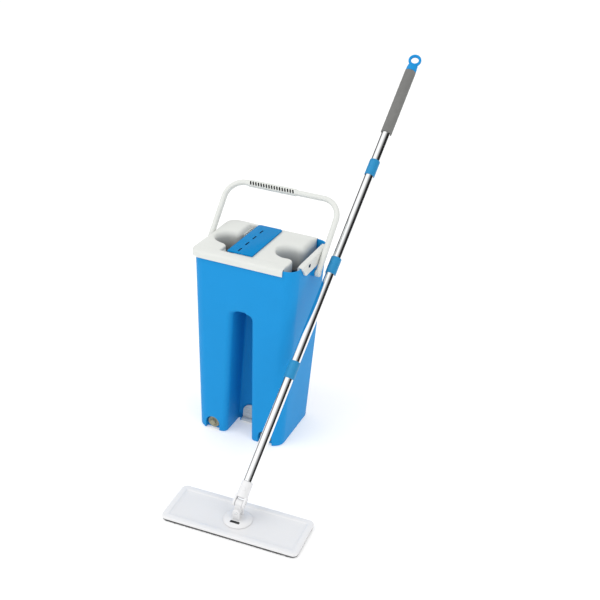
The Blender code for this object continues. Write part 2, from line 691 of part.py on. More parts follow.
# ---------------------------------------------------------------- mop head
def head_plate_piece(head, finish):
    low = (-HEAD_HALF[0], -HEAD_HALF[1])
    points = rounded_rectangle(low, HEAD_HALF, (HEAD_CORNER_R,) * 4)
    plate = piece("head_plate", outline_plate("head_plate", points, *PLATE_Z), finish, head)
    inner = (HEAD_HALF[0] - PLATE_BORDER, HEAD_HALF[1] - PLATE_BORDER)
    panel = rounded_rectangle((-inner[0], -inner[1]), inner, (HEAD_CORNER_R / 2,) * 4)
    recess = outline_plate("panel_recess", panel, PLATE_Z[1] - PLATE_RECESS, 0.05)
    cut(plate, helper("panel_recess", recess, head))


def head_soft_layers(head, fabric, hook):
    low = (-HEAD_HALF[0], -HEAD_HALF[1])
    points = rounded_rectangle(low, HEAD_HALF, (HEAD_CORNER_R,) * 4)
    piece("mop_pad", outline_plate("mop_pad", points, 0.0, PAD_THICK), fabric, head)
    low_z = PAD_THICK + GAP
    for side, name in ((-1, "front"), (1, "back")):
        y = side * HOOK_Y
        strip = box(
            f"hook_strip_{name}",
            (-HOOK_HALF[0], y - HOOK_HALF[1], low_z),
            (HOOK_HALF[0], y + HOOK_HALF[1], low_z + HOOK_THICK),
        )
        piece(f"hook_strip_{name}", strip, hook, head)


def joint_base(head, finish):
    """A domed disc on the plate with two ears that carry the lower pin."""
    floor = PLATE_Z[1] - PLATE_RECESS + GAP
    outline = [
        (0.0, BASE_TOP_Z),
        (BASE_R * 0.55, BASE_TOP_Z - 0.0002),
        (BASE_R * 0.85, BASE_TOP_Z - 0.0016),
        (BASE_R, BASE_TOP_Z - 0.0042),
        (BASE_R, floor),
        (0.0, floor),
    ]
    base = piece("joint_base", turned("joint_base", outline), finish, head)
    low_z = (BASE_TOP_Z + floor) / 2
    for side, name in ((-1, "front"), (1, "back")):
        ends = sorted((side * EAR_Y[0], side * EAR_Y[1]))
        join(base, helper(f"ear_{name}", tab(f"ear_{name}", EAR_HALF, low_z, LOWER_PIN_Z, ends, "Y"), head))
    hole = rod("ear_hole", PIN_R + PIN_CLEAR, -0.03, 0.03, "Y", 20)
    cut(base, helper("ear_hole", hole, head, at=(0, 0, LOWER_PIN_Z)))


def joint_cross(cross, finish, steel):
    """The block that carries both pins, at right angles to each other."""
    half_x, half_y = CROSS_HALF
    middle = box("joint_cross", (-half_x + 0.0008, -half_y + 0.0008, 0.0), (half_x - 0.0008, half_y - 0.0008, PIN_RISE))
    block = piece("joint_cross", middle, finish, cross)
    foot = rod("cross_foot", EAR_HALF, -half_y, half_y, "Y", 24)
    head = rod("cross_head", EAR_HALF, -half_x, half_x, "X", 24)
    join(block, helper("cross_foot", foot, cross))
    join(block, helper("cross_head", head, cross, at=(0, 0, PIN_RISE)))
    low_hole = rod("cross_low_hole", PIN_R + PIN_CLEAR, -0.02, 0.02, "Y", 20)
    high_hole = rod("cross_high_hole", PIN_R + PIN_CLEAR, -0.02, 0.02, "X", 20)
    cut(block, helper("cross_low_hole", low_hole, cross))
    cut(block, helper("cross_high_hole", high_hole, cross, at=(0, 0, PIN_RISE)))
    reach = EAR_Y[1] + 0.0008
    piece("lower_pin", rod("lower_pin", PIN_R, -reach, reach, "Y", 20), steel, cross)
    reach = FORK_X[1] + 0.0008
    piece("upper_pin", rod("upper_pin", PIN_R, -reach, reach, "X", 20), steel, cross, at=(0, 0, PIN_RISE))


def neck_socket(handle, finish):
    """A fork over the upper pin that runs up into the socket under the lowest tube."""
    outline = [
        (0.0, NECK_TOP),
        (NECK_R, NECK_TOP),
        (NECK_R, FORK_FLOOR + 0.006),
        (FORK_X[1], FORK_FLOOR),
        (0.0, FORK_FLOOR),
    ]
    neck = piece("neck_socket", turned("neck_socket", outline), finish, handle)
    for side, name in ((-1, "left"), (1, "right")):
        ends = sorted((side * FORK_X[0], side * FORK_X[1]))
        arm = tab(f"fork_{name}", FORK_R, -FORK_FLOOR - 0.002, 0.0, ends, "X")
        join(neck, helper(f"fork_{name}", arm, handle, turn=(180, 0, 0)))
    spigot_r = TUBE_R - TUBE_WALL - GAP
    spigot = rod("neck_spigot", spigot_r, NECK_TOP - 0.001, NECK_TOP + 0.03, "Z", 24)
    join(neck, helper("neck_spigot", spigot, handle))
    hole = rod("fork_hole", PIN_R + PIN_CLEAR, -0.03, 0.03, "X", 20)
    cut(neck, helper("fork_hole", hole, handle))


# ---------------------------------------------------------------- handle
def sleeve(name, outer, inner, low, high):
    return turned(name, [(outer, high), (outer, low), (inner, low), (inner, high)], ROUND)


def handle_tubes(handle, steel, blue, plastic):
    """Four tubes, each screwed to the next by a threaded insert inside a blue sleeve."""
    joints = [TUBE_START + JOINT_STEP * (i + 1) - 0.0003 for i in range(3)]
    lows = [TUBE_START] + [joint + TUBE_GAP / 2 for joint in joints]
    highs = [joint - TUBE_GAP / 2 for joint in joints] + [GRIP_END]
    for i, (low, high) in enumerate(zip(lows, highs)):
        name = f"tube_{i + 1}"
        piece(name, sleeve(name, TUBE_R, TUBE_R - TUBE_WALL, low, high), steel, handle)
    for i, joint in enumerate(joints):
        name = f"connector_{i + 1}"
        inner = TUBE_R + GAP
        edge = 0.0012
        low = joint - CONNECTOR_HALF
        high = joint + CONNECTOR_HALF
        outline = [
            (CONNECTOR_R - edge / 2, high),
            (CONNECTOR_R, high - edge),
            (CONNECTOR_R, low + edge),
            (CONNECTOR_R - edge / 2, low),
            (inner, low),
            (inner, high),
        ]
        piece(name, turned(name, outline), blue, handle)
        name = f"thread_insert_{i + 1}"
        insert_r = TUBE_R - TUBE_WALL - GAP
        piece(name, rod(name, insert_r, joint - PLUG_HALF, joint + PLUG_HALF, "Z", 24), plastic, handle)


def foam_grip(handle, finish):
    edge = 0.0015
    inner = TUBE_R + GAP
    outline = [
        (GRIP_FOAM_R - edge, GRIP_END),
        (GRIP_FOAM_R, GRIP_END - edge),
        (GRIP_FOAM_R, GRIP_START + edge),
        (GRIP_FOAM_R - edge, GRIP_START),
        (inner, GRIP_START),
        (inner, GRIP_END),
    ]
    piece("foam_grip", turned("foam_grip", outline), finish, handle)


def end_cap(handle, finish):
    """A cap plugged into the top tube, with a ring to hang the mop by."""
    low = GRIP_END + GAP
    plug_r = TUBE_R - TUBE_WALL - GAP
    outline = [
        (0.0, low + 0.0165),
        (GRIP_FOAM_R - 0.0024, low + 0.0165),
        (GRIP_FOAM_R - 0.0012, low + 0.0120),
        (GRIP_FOAM_R - 0.0006, low + 0.0030),
        (GRIP_FOAM_R - 0.0006, low),
        (plug_r, low),
        (plug_r, low - 0.018),
        (0.0, low - 0.018),
    ]
    cap = piece("end_cap", turned("end_cap", outline), finish, handle)
    ring = rod("cap_ring", RING_R, -RING_HALF_THICK, RING_HALF_THICK, "Y")
    join(cap, helper("cap_ring", ring, handle, at=(0, 0, RING_AT)))
    hole = rod("cap_hole", RING_HOLE_R, -0.02, 0.02, "Y")
    cut(cap, helper("cap_hole", hole, handle, at=(0, 0, RING_AT)))


# ---------------------------------------------------------------- assembly
def build():
    blue = material("blue_polypropylene", (0.015, 0.31, 0.72), 0.38)
    white = material("off_white_polypropylene", (0.76, 0.78, 0.75), 0.45)
    grey = material("grey_beige_plastic", (0.36, 0.36, 0.30), 0.50)
    rubber = material("dark_grey_rubber", (0.05, 0.05, 0.05), 0.70)
    steel = material("polished_steel", (0.80, 0.81, 0.82), 0.15, 1.0)
    fabric = material("grey_microfibre", (0.10, 0.10, 0.11), 0.95)
    hook = material("black_hook_tape", (0.03, 0.03, 0.03), 0.85)
    foam = material("grey_foam", (0.19, 0.19, 0.18), 0.80)

    bucket_body(blue)
    drain_plug(-1, "dry", grey, rubber)
    drain_plug(1, "wash", grey, rubber)
    foot_pedal(white, steel)
    wringer_lid(white)
    half_bay = math.sqrt((BAY_R + LOBE_R) ** 2 - (DRY_LOBE_X - LOBE_R - DRY_BAY[0]) ** 2)
    wringing_comb("comb_back", white, DRY_BAY[1] + half_bay + 0.001, SLOT_Y[1] - 0.001)
    wringing_comb("comb_front", white, SLOT_Y[0] + 0.001, DRY_BAY[1] - half_bay - 0.001)
    scraper_cover(blue, rubber)
    rim_strip(white)
    bail_handle(white)

    head = pivot("head_frame", at=(*HEAD_AT, 0), turn=(0, 0, HEAD_TURN))
    head_plate_piece(head, white)
    head_soft_layers(head, fabric, hook)
    joint_base(head, white)
    cross = pivot("lower_pin_axis", head, at=(0, 0, LOWER_PIN_Z), turn=(0, SIDE_LEAN, 0))
    joint_cross(cross, white, steel)
    handle = pivot("upper_pin_axis", cross, at=(0, 0, PIN_RISE), turn=(-BACK_LEAN, 0, 0))
    neck_socket(handle, white)
    handle_tubes(handle, steel, blue, white)
    foam_grip(handle, foam)
    end_cap(handle, blue)


clear_scene()
PARTS = new_collection("mop_and_bucket")
CUTTERS = new_collection("cutters")
build()
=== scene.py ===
import json
import math

import bmesh
import bpy
from mathutils import Matrix, Vector
from mathutils.geometry import delaunay_2d_cdt


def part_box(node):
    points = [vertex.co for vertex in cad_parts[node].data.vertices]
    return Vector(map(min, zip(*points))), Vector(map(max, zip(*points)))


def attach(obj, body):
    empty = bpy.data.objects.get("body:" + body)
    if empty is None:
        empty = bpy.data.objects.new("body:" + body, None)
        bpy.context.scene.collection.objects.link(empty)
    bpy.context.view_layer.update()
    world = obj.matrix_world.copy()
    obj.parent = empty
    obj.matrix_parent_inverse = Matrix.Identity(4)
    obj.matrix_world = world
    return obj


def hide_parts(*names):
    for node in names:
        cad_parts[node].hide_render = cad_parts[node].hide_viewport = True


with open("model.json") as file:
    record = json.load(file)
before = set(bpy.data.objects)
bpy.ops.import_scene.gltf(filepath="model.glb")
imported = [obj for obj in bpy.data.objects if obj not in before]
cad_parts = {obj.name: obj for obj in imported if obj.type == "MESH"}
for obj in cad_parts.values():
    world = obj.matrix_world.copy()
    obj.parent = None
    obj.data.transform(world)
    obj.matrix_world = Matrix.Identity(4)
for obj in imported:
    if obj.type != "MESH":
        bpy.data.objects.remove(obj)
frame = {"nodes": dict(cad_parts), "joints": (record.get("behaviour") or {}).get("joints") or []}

bl_info = {
    "name": "Flat mop and wringer bucket",
    "version": (1, 0, 0),
    "blender": (4, 5, 0),
    "location": "3D View > Sidebar > Mop set",
    "description": "Builds the finished pieces of a flat mop and its two-chamber wringer bucket",
    "category": "Add Mesh",
}

MM = 0.001
UP = Vector((0, 0, 1))
JOINTS = {joint["name"]: joint for joint in frame["joints"]}


# ---------------------------------------------------------------- places
def frame_of(origin, x, y, z):
    """The matrix that carries a piece's own axes to their place on the object."""
    return Matrix([[x[i], y[i], z[i], origin[i]] for i in range(3)] + [[0, 0, 0, 1]])


def centre_of(node):
    low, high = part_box(node)
    return (low + high) / 2


def mop_places():
    """The head's, the joint cross's and the handle's own frames, read from the joints and the tubes."""
    lower = Vector(JOINTS["head_roll"]["pos_m"])
    upper = Vector(JOINTS["head_tilt"]["pos_m"])
    head_y = Vector(JOINTS["head_roll"]["axis"]).normalized()
    cross_x = Vector(JOINTS["head_tilt"]["axis"]).normalized()
    along = (centre_of("tube_4") - centre_of("tube_1")).normalized()
    head = frame_of((lower.x, lower.y, 0), head_y.cross(UP), head_y, UP)
    cross = frame_of(lower, cross_x, head_y, cross_x.cross(head_y))
    handle = frame_of(upper, cross_x, along.cross(cross_x), along)
    return head, cross, handle


HEAD, CROSS, HANDLE = mop_places()
BAIL_PIVOT = Vector(JOINTS["bail_swing"]["pos_m"])


def span(node, place):
    """Where a turned CAD node starts and ends along a frame's Z, with its outer and inner radius."""
    back = place.inverted()
    points = [back @ vert.co for vert in frame["nodes"][node].data.vertices]
    radii = [math.hypot(point.x, point.y) for point in points]
    heights = [point.z for point in points]
    return min(heights), max(heights), max(radii), min(radii)


# ---------------------------------------------------------------- outlines
def soften(points, radius, steps=5, closed=False):
    """A 2D path with its corners rounded. radius is one number, or one for each point."""
    count = len(points)
    radii = radius if isinstance(radius, (list, tuple)) else [radius] * count
    path = []
    for i, point in enumerate(points):
        here = Vector(point[:2])
        if not radii[i] or (not closed and i in (0, count - 1)):
            path.append(tuple(here))
            continue
        back = Vector(points[i - 1][:2]) - here
        on = Vector(points[(i + 1) % count][:2]) - here
        turn = back.angle(on)
        if turn > math.pi - 0.01:
            path.append(tuple(here))
            continue
        reach = min(radii[i] / math.tan(turn / 2), 0.48 * back.length, 0.48 * on.length)
        true_radius = reach * math.tan(turn / 2)
        centre = here + (back.normalized() + on.normalized()).normalized() * true_radius / math.sin(turn / 2)
        first = here + back.normalized() * reach - centre
        last = here + on.normalized() * reach - centre
        sweep = first.angle_signed(last)
        for k in range(steps + 1):
            path.append(tuple(centre + Matrix.Rotation(-sweep * k / steps, 2) @ first))
    return path


def arc(centre, radius, start, end, steps):
    """Points on an arc, in degrees."""
    angles = [math.radians(start + (end - start) * k / steps) for k in range(steps + 1)]
    return [(centre[0] + radius * math.cos(a), centre[1] + radius * math.sin(a)) for a in angles]


def rounded_rectangle(half, radius, steps=8):
    corners = [(half[0], -half[1]), half, (-half[0], half[1]), (-half[0], -half[1])]
    return soften(corners, radius, steps, closed=True)


def smooth_step(value, low, high):
    t = min(1.0, max(0.0, (value - low) / (high - low)))
    return t * t * (3 - 2 * t)


# ---------------------------------------------------------------- shapes
def add_loft(shape, rings, closed=True, caps=(True, True), wrap=False):
    """Skins rings of points, each with as many points as the next. A ring of one point is a pole."""
    rows = [[shape.verts.new(point) for point in ring] for ring in rings]
    pairs = list(zip(rows, rows[1:])) + ([(rows[-1], rows[0])] if wrap else [])
    for low, high in pairs:
        count = max(len(low), len(high))
        for i in range(count if closed else count - 1):
            j = (i + 1) % count
            if len(low) == 1:
                face = (low[0], high[j], high[i])
            elif len(high) == 1:
                face = (low[i], low[j], high[0])
            else:
                face = (low[i], low[j], high[j], high[i])
            shape.faces.new(face)
    for row, wanted in ((rows[0], caps[0]), (rows[-1], caps[1])):
        if wanted and not wrap and closed and len(row) > 2:
            shape.faces.new(row)
    return rows


def add_turned(shape, profile, place, sides=72, loop=False):
    """Turns a profile of (radius, height) about a frame's Z. loop closes a ring's profile on itself."""
    rings = []
    for radius, height in profile:
        if radius < 1e-9:
            rings.append([place @ Vector((0, 0, height))])
            continue
        angles = [2 * math.pi * k / sides for k in range(sides)]
        rings.append([place @ Vector((radius * math.cos(a), radius * math.sin(a), height)) for a in angles])
    add_loft(shape, rings, caps=(False, False), wrap=loop)


def add_slab(shape, outline, low, high, edge, place, steps=3):
    """A plate with rounded edges: the outline is inset round its top and bottom edges."""
    rings = []
    for k in range(steps + 1):
        t = math.pi / 2 * k / steps
        rings.append((edge * (1 - math.sin(t)), low + edge * (1 - math.cos(t))))
    rings += [(inset, high + low - height) for inset, height in reversed(rings)]
    skins = []
    for inset, height in rings:
        skins.append([place @ Vector((x, y, height)) for x, y in inset_outline(outline, inset)])
    add_loft(shape, skins)


def inset_outline(outline, inset):
    """A closed outline, running anticlockwise, moved inwards along its corners' bisectors."""
    if not inset:
        return list(outline)
    moved = []
    count = len(outline)
    for i, point in enumerate(outline):
        back = Vector(outline[i - 1])
        on = Vector(outline[(i + 1) % count])
        into = on - back
        normal = Vector((-into.y, into.x)).normalized()
        moved.append(tuple(Vector(point) + normal * inset))
    return moved


def turn_to(axis):
    """A frame whose Z lies along an axis of the object."""
    return Vector(axis).to_track_quat("Z", "Y").to_matrix().to_4x4()


def mesh_from(shape, name, sharp=32, outward=True):
    if outward:
        bmesh.ops.recalc_face_normals(shape, faces=shape.faces)
    mesh = bpy.data.meshes.new(name)
    shape.to_mesh(mesh)
    shape.free()
    mesh.shade_smooth()
    mesh.set_sharp_from_angle(angle=math.radians(sharp))
    return mesh


def show(name, mesh, *finishes):
    """Puts a mesh in the scene as a piece, with its finishes in slot order."""
    piece = bpy.data.objects.new(name, mesh)
    for finish_name in finishes:
        mesh.materials.append(finish(finish_name))
    bpy.context.scene.collection.objects.link(piece)
    return piece


def applied(piece, sharp=32):
    """The same piece with its modifiers made part of its mesh."""
    bpy.context.view_layer.update()
    graph = bpy.context.evaluated_depsgraph_get()
    mesh = bpy.data.meshes.new_from_object(piece.evaluated_get(graph))
    piece.modifiers.clear()
    piece.data = mesh
    mesh.shade_smooth()
    mesh.set_sharp_from_angle(angle=math.radians(sharp))
    return piece


def carve(piece, operation, *others):
    """Joins shapes to a piece or cuts them from it, and removes them."""
    for other in others:
        change = piece.modifiers.new(operation.lower(), "BOOLEAN")
        change.operation = operation
        change.solver = "EXACT"
        change.object = other
        if other.data.materials:
            change.material_mode = "TRANSFER"
    applied(piece)
    for other in others:
        bpy.data.objects.remove(other, do_unlink=True)
    return piece


def settle(piece, body, slot, *replaced):
    """Hands a finished piece to its body, with the CAD nodes that it stands for."""
    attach(piece, body)
    if replaced:
        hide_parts(*replaced)
    return piece


# ---------------------------------------------------------------- finishes
def linear(code):
    """A linear colour from an sRGB hex code."""
    parts = [int(code[i : i + 2], 16) / 255 for i in (1, 3, 5)]
    return [part / 12.92 if part <= 0.04045 else ((part + 0.055) / 1.055) ** 2.4 for part in parts]


def rgba(code, gain=1.0):
    return (*[part * gain for part in linear(code)], 1.0)


def add_node(tree, kind, inputs=None, **options):
    """Adds a node with its options, its input values and the links that come into it."""
    made = tree.nodes.new(kind)
    for name, value in options.items():
        setattr(made, name, value)
    for name, value in (inputs or {}).items():
        socket = made.inputs[name]
        if isinstance(value, bpy.types.NodeSocket):
            tree.links.new(value, socket)
        else:
            socket.default_value = value
    return made


def new_material(name, **constants):
    """A material with its Principled shader, whose constants are set on its own sockets."""
    made = bpy.data.materials.new(name)
    made.use_nodes = True
    shader = made.node_tree.nodes["Principled BSDF"]
    for key, value in constants.items():
        shader.inputs[key.replace("_", " ")].default_value = value
    place = add_node(made.node_tree, "ShaderNodeTexCoord").outputs["Object"]
    return made, made.node_tree, shader, place


def mottled(tree, place, code, patch, detail, weak, strong):
    """A colour that drifts between two strengths in patches of a real size, and the drift's own value."""
    cloud = add_node(tree, "ShaderNodeTexNoise", {"Vector": place, "Scale": 1 / patch, "Detail": detail})
    tint = add_node(
        tree,
        "ShaderNodeMix",
        {"Factor": cloud.outputs["Fac"], 6: rgba(code, weak), 7: rgba(code, strong)},
        data_type="RGBA",
    )
    return tint.outputs[2], cloud.outputs["Fac"]


def shade(tree, shader, colour, roughness, bump):
    """Links a colour, a roughness and a bump height to the shader."""
    for socket, value in (("Base Color", colour), ("Roughness", roughness), ("Normal", bump)):
        if value is not None:
            tree.links.new(value, shader.inputs[socket])


def moulded_plastic(name, code, roughness, grain_mm=0.9, drift=0.04, scatter=0.0, specular=0.5):
    """Injection-moulded polypropylene, polyethylene or ABS: satin, with a spark-eroded grain from the tool.

    The grain is really about 0.2 mm, and is drawn coarser so that it shows as a soft break-up of the gloss.
    """
    made, tree, shader, place = new_material(name, IOR=1.49, Specular_IOR_Level=specular)
    shader.inputs["Subsurface Weight"].default_value = scatter
    shader.inputs["Subsurface Radius"].default_value = (0.9, 0.9, 0.9)
    shader.inputs["Subsurface Scale"].default_value = 1.5 * MM
    tint, _ = mottled(tree, place, code, 55 * MM, 2.0, 1 - drift, 1 + drift)
    grain = add_node(
        tree, "ShaderNodeTexNoise", {"Vector": place, "Scale": 1 / (grain_mm * MM), "Detail": 3.0}
    )
    gloss = add_node(
        tree,
        "ShaderNodeMapRange",
        {"Value": grain.outputs["Fac"], "To Min": roughness - 0.05, "To Max": roughness + 0.07},
    )
    sink = add_node(tree, "ShaderNodeTexNoise", {"Vector": place, "Scale": 1 / (38 * MM), "Detail": 1.0})
    coarse = add_node(
        tree, "ShaderNodeBump", {"Height": sink.outputs["Fac"], "Strength": 0.25, "Distance": 0.6 * MM}
    )
    fine = add_node(
        tree,
        "ShaderNodeBump",
        {
            "Height": grain.outputs["Fac"],
            "Strength": 0.12,
            "Distance": 0.05 * MM,
            "Normal": coarse.outputs[0],
        },
    )
    shade(tree, shader, tint, gloss.outputs[0], fine.outputs[0])
    return made


def drawn_steel(name, code, roughness, place_on):
    """Polished stainless tube: a mirror with soft lines left along it by drawing and buffing."""
    made, tree, shader, place = new_material(name, Metallic=1.0)
    shader.inputs["Base Color"].default_value = rgba(code)
    turned = add_node(
        tree, "ShaderNodeMapping", {"Vector": place, "Rotation": place_on.inverted().to_euler()}
    )
    drawn = add_node(
        tree, "ShaderNodeMapping", {"Vector": turned.outputs[0], "Scale": (1 / (3 * MM), 1 / (3 * MM), 1.5)}
    )
    lines = add_node(tree, "ShaderNodeTexNoise", {"Vector": drawn.outputs[0], "Scale": 1.0, "Detail": 1.0})
    gloss = add_node(
        tree,
        "ShaderNodeMapRange",
        {"Value": lines.outputs["Fac"], "To Min": roughness - 0.015, "To Max": roughness + 0.015},
    )
    shade(tree, shader, None, gloss.outputs[0], None)
    return made


def lid_polypropylene(name, code):
    """The lid's polypropylene: as the bail's, but painted greyer towards the bottom of its slots.

    The grey stands in for shade that the even light doesn't give. The lid's outer sides stay as the bail.
    """
    made = moulded_plastic(name, code, 0.40, scatter=0.05)
    tree = made.node_tree
    shader = tree.nodes["Principled BSDF"]
    tint = shader.inputs["Base Color"].links[0].from_socket
    place = add_node(tree, "ShaderNodeTexCoord").outputs["Object"]
    height = add_node(tree, "ShaderNodeSeparateXYZ", {0: place}).outputs["Z"]
    depth = add_node(
        tree,
        "ShaderNodeMapRange",
        {"Value": height, "From Min": 352 * MM, "From Max": 391 * MM, "To Min": 0.40, "To Max": 1.0},
    ).outputs[0]
    low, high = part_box("wringer_lid")
    sides = []
    for axis, near, far in (("X", low.x, 1.0), ("Y", low.y, high.y)):
        across = add_node(tree, "ShaderNodeSeparateXYZ", {0: place}).outputs[axis]
        from_low = add_node(tree, "ShaderNodeMath", {0: across, 1: near + 3.2 * MM}, operation="LESS_THAN")
        from_high = add_node(tree, "ShaderNodeMath", {0: across, 1: far - 3.2 * MM}, operation="GREATER_THAN")
        sides += [from_low.outputs[0], from_high.outputs[0]]
    outer = sides[0]
    for side in sides[1:]:
        outer = add_node(tree, "ShaderNodeMath", {0: outer, 1: side}, operation="MAXIMUM").outputs[0]
    shaded = add_node(tree, "ShaderNodeMath", {0: depth, 1: outer}, operation="MAXIMUM").outputs[0]
    grey = add_node(
        tree,
        "ShaderNodeMix",
        {"Factor": 1.0, 6: tint, 7: shaded},
        data_type="RGBA",
        blend_type="MULTIPLY",
    )
    tree.links.new(grey.outputs[2], shader.inputs["Base Color"])
    return made


def cell_foam(name, code, cell_mm):
    """Closed-cell foam sleeve: matt and faintly dimpled. Its 0.3 mm cells are drawn coarser, to show."""
    made, tree, shader, place = new_material(name, IOR=1.45)
    cells = add_node(tree, "ShaderNodeTexVoronoi", {"Vector": place, "Scale": 1 / (cell_mm * MM)})
    tint, _ = mottled(tree, place, code, 14 * MM, 3.0, 0.86, 1.12)
    dimple = add_node(
        tree, "ShaderNodeBump", {"Height": cells.outputs["Distance"], "Strength": 0.45, "Distance": 0.18 * MM}
    )
    shader.inputs["Roughness"].default_value = 0.86
    shade(tree, shader, tint, None, dimple.outputs[0])
    return made


def microfibre(name, code, loop_mm):
    """Knitted microfibre: a soft pile that scatters light at grazing angles, in clumps about a loop wide."""
    made, tree, shader, place = new_material(name, Sheen_Weight=0.35, Sheen_Roughness=0.5, Roughness=0.95)
    loops = add_node(tree, "ShaderNodeTexVoronoi", {"Vector": place, "Scale": 1 / (loop_mm * MM)})
    tint, _ = mottled(tree, place, code, 3 * MM, 4.0, 0.7, 1.35)
    pile = add_node(
        tree, "ShaderNodeBump", {"Height": loops.outputs["Distance"], "Strength": 0.9, "Distance": 0.8 * MM}
    )
    shade(tree, shader, tint, None, pile.outputs[0])
    return made


def soft_rubber(name, code, roughness):
    """Moulded soft rubber: dark, with a dusty bloom that lifts its roughness in patches."""
    made, tree, shader, place = new_material(name, IOR=1.52)
    tint, bloom = mottled(tree, place, code, 4 * MM, 4.0, 0.85, 1.25)
    gloss = add_node(
        tree,
        "ShaderNodeMapRange",
        {"Value": bloom, "To Min": roughness - 0.1, "To Max": roughness + 0.1},
    )
    shade(tree, shader, tint, gloss.outputs[0], None)
    return made


FINISHES = {}


def finish(name):
    """A finish by name, made from the panel's colours the first time that it is asked for."""
    if name not in FINISHES:
        look = bpy.context.scene.mop_set_finishes
        makers = {
            "blue": lambda: moulded_plastic("blue_polypropylene", look.blue, 0.46, specular=0.10),
            "cover": lambda: moulded_plastic("blue_polypropylene_cover", look.cover, 0.46, specular=0.06),
            "white": lambda: moulded_plastic("off_white_polypropylene", look.white, 0.40, scatter=0.05),
            "bright": lambda: moulded_plastic("white_abs", look.bright, 0.34, drift=0.015),
            "panel": lambda: moulded_plastic("grained_white_abs", look.panel, 0.5, drift=0.02),
            "lid": lambda: lid_polypropylene("off_white_lid_polypropylene", look.white),
            "beige": lambda: moulded_plastic("grey_beige_polyethylene", look.beige, 0.48, drift=0.12),
            "collar": lambda: moulded_plastic("blue_abs_collar", look.collar, 0.42),
            "steel": lambda: drawn_steel("polished_stainless_tube", look.steel, 0.07, HANDLE),
            "foam": lambda: cell_foam("grey_closed_cell_foam", look.foam, 0.9),
            "fibre": lambda: microfibre("dark_grey_microfibre", look.fibre, 1.4),
            "tape": lambda: microfibre("black_hook_tape", look.slot_shade_and_tape_grey, 0.8),
            "rubber": lambda: soft_rubber("dark_grey_rubber", look.rubber, 0.62),
            # Painted shade: the walls of the bail's grip slots and the hub's slot take this charcoal, which
            # stands in for the shade inside them.
            "slot_shade_and_tape_grey": lambda: soft_rubber("charcoal_painted_slot_shade", look.slot_shade_and_tape_grey, 0.7),
            # Painted shade: the walls of the cover's slots and the rim strip's slot take this deep blue,
            # which stands in for the shade inside them.
            "painted_slot_shade": lambda: moulded_plastic("painted_shade_blue_slot_wall", look.painted_slot_shade, 0.6),
        }
        FINISHES[name] = makers[name]()
    return FINISHES[name]


# ---------------------------------------------------------------- repeated shapes
def new_tree(name, inputs):
    """An empty Geometry Nodes tree with a geometry in and out, and named inputs for its sizes."""
    tree = bpy.data.node_groups.new(name, "GeometryNodeTree")
    tree.interface.new_socket("Geometry", in_out="INPUT", socket_type="NodeSocketGeometry")
    for label, kind in inputs.items():
        tree.interface.new_socket(label, in_out="INPUT", socket_type=kind)
    tree.interface.new_socket("Geometry", in_out="OUTPUT", socket_type="NodeSocketGeometry")
    return tree, add_node(tree, "NodeGroupInput").outputs, add_node(tree, "NodeGroupOutput").inputs


def rounded_bar_row(tree, given):
    """A row of round-ended bars: a filleted rectangle swept through their depth, set out along a line."""
    shape = add_node(
        tree, "GeometryNodeCurvePrimitiveQuadrilateral", {"Width": given["Long"], "Height": given["Wide"]}
    )
    half = add_node(tree, "ShaderNodeMath", {0: given["Wide"], 1: 0.49}, operation="MULTIPLY")
    soft = add_node(
        tree,
        "GeometryNodeFilletCurve",
        {"Curve": shape.outputs[0], "Radius": half.outputs[0], "Count": 5, "Limit Radius": True},
        mode="POLY",
    )
    top = add_node(tree, "ShaderNodeCombineXYZ", {"Z": given["Deep"]})
    sweep = add_node(tree, "GeometryNodeCurvePrimitiveLine", {"End": top.outputs[0]})
    bar = add_node(
        tree,
        "GeometryNodeCurveToMesh",
        {"Curve": sweep.outputs[0], "Profile Curve": soft.outputs[0], "Fill Caps": True},
    )
    line = add_node(
        tree,
        "GeometryNodeMeshLine",
        {"Count": given["Count"], "Start Location": given["Start"], "Offset": given["Step"]},
    )
    row = add_node(
        tree,
        "GeometryNodeInstanceOnPoints",
        {"Points": line.outputs[0], "Instance": bar.outputs[0], "Rotation": given["Turn"]},
    )
    solid = add_node(tree, "GeometryNodeRealizeInstances", {"Geometry": row.outputs[0]})
    return add_node(
        tree, "GeometryNodeSetMaterial", {"Geometry": solid.outputs[0], "Material": given["Finish"]}
    ).outputs[0]


ROW_INPUTS = {
    "Count": "NodeSocketInt",
    "Start": "NodeSocketVector",
    "Step": "NodeSocketVector",
    "Turn": "NodeSocketRotation",
    "Long": "NodeSocketFloat",
    "Wide": "NodeSocketFloat",
    "Deep": "NodeSocketFloat",
    "Finish": "NodeSocketMaterial",
}


def slot_row_tree():
    """Cuts a row of round-ended slots, with walls of their own finish, into the piece that comes in."""
    tree, given, result = new_tree("row_of_slots", ROW_INPUTS)
    bars = rounded_bar_row(tree, given)
    cut = add_node(
        tree,
        "GeometryNodeMeshBoolean",
        {0: given["Geometry"], 1: bars},
        operation="DIFFERENCE",
        solver="EXACT",
    )
    tree.links.new(cut.outputs[0], result[0])
    return tree


def bar_row_tree():
    """Adds a row of round-ended bars to the piece that comes in."""
    tree, given, result = new_tree("row_of_bars", ROW_INPUTS)
    both = add_node(tree, "GeometryNodeJoinGeometry", {"Geometry": given["Geometry"]})
    tree.links.new(rounded_bar_row(tree, given), both.inputs[0])
    tree.links.new(both.outputs[0], result[0])
    return tree


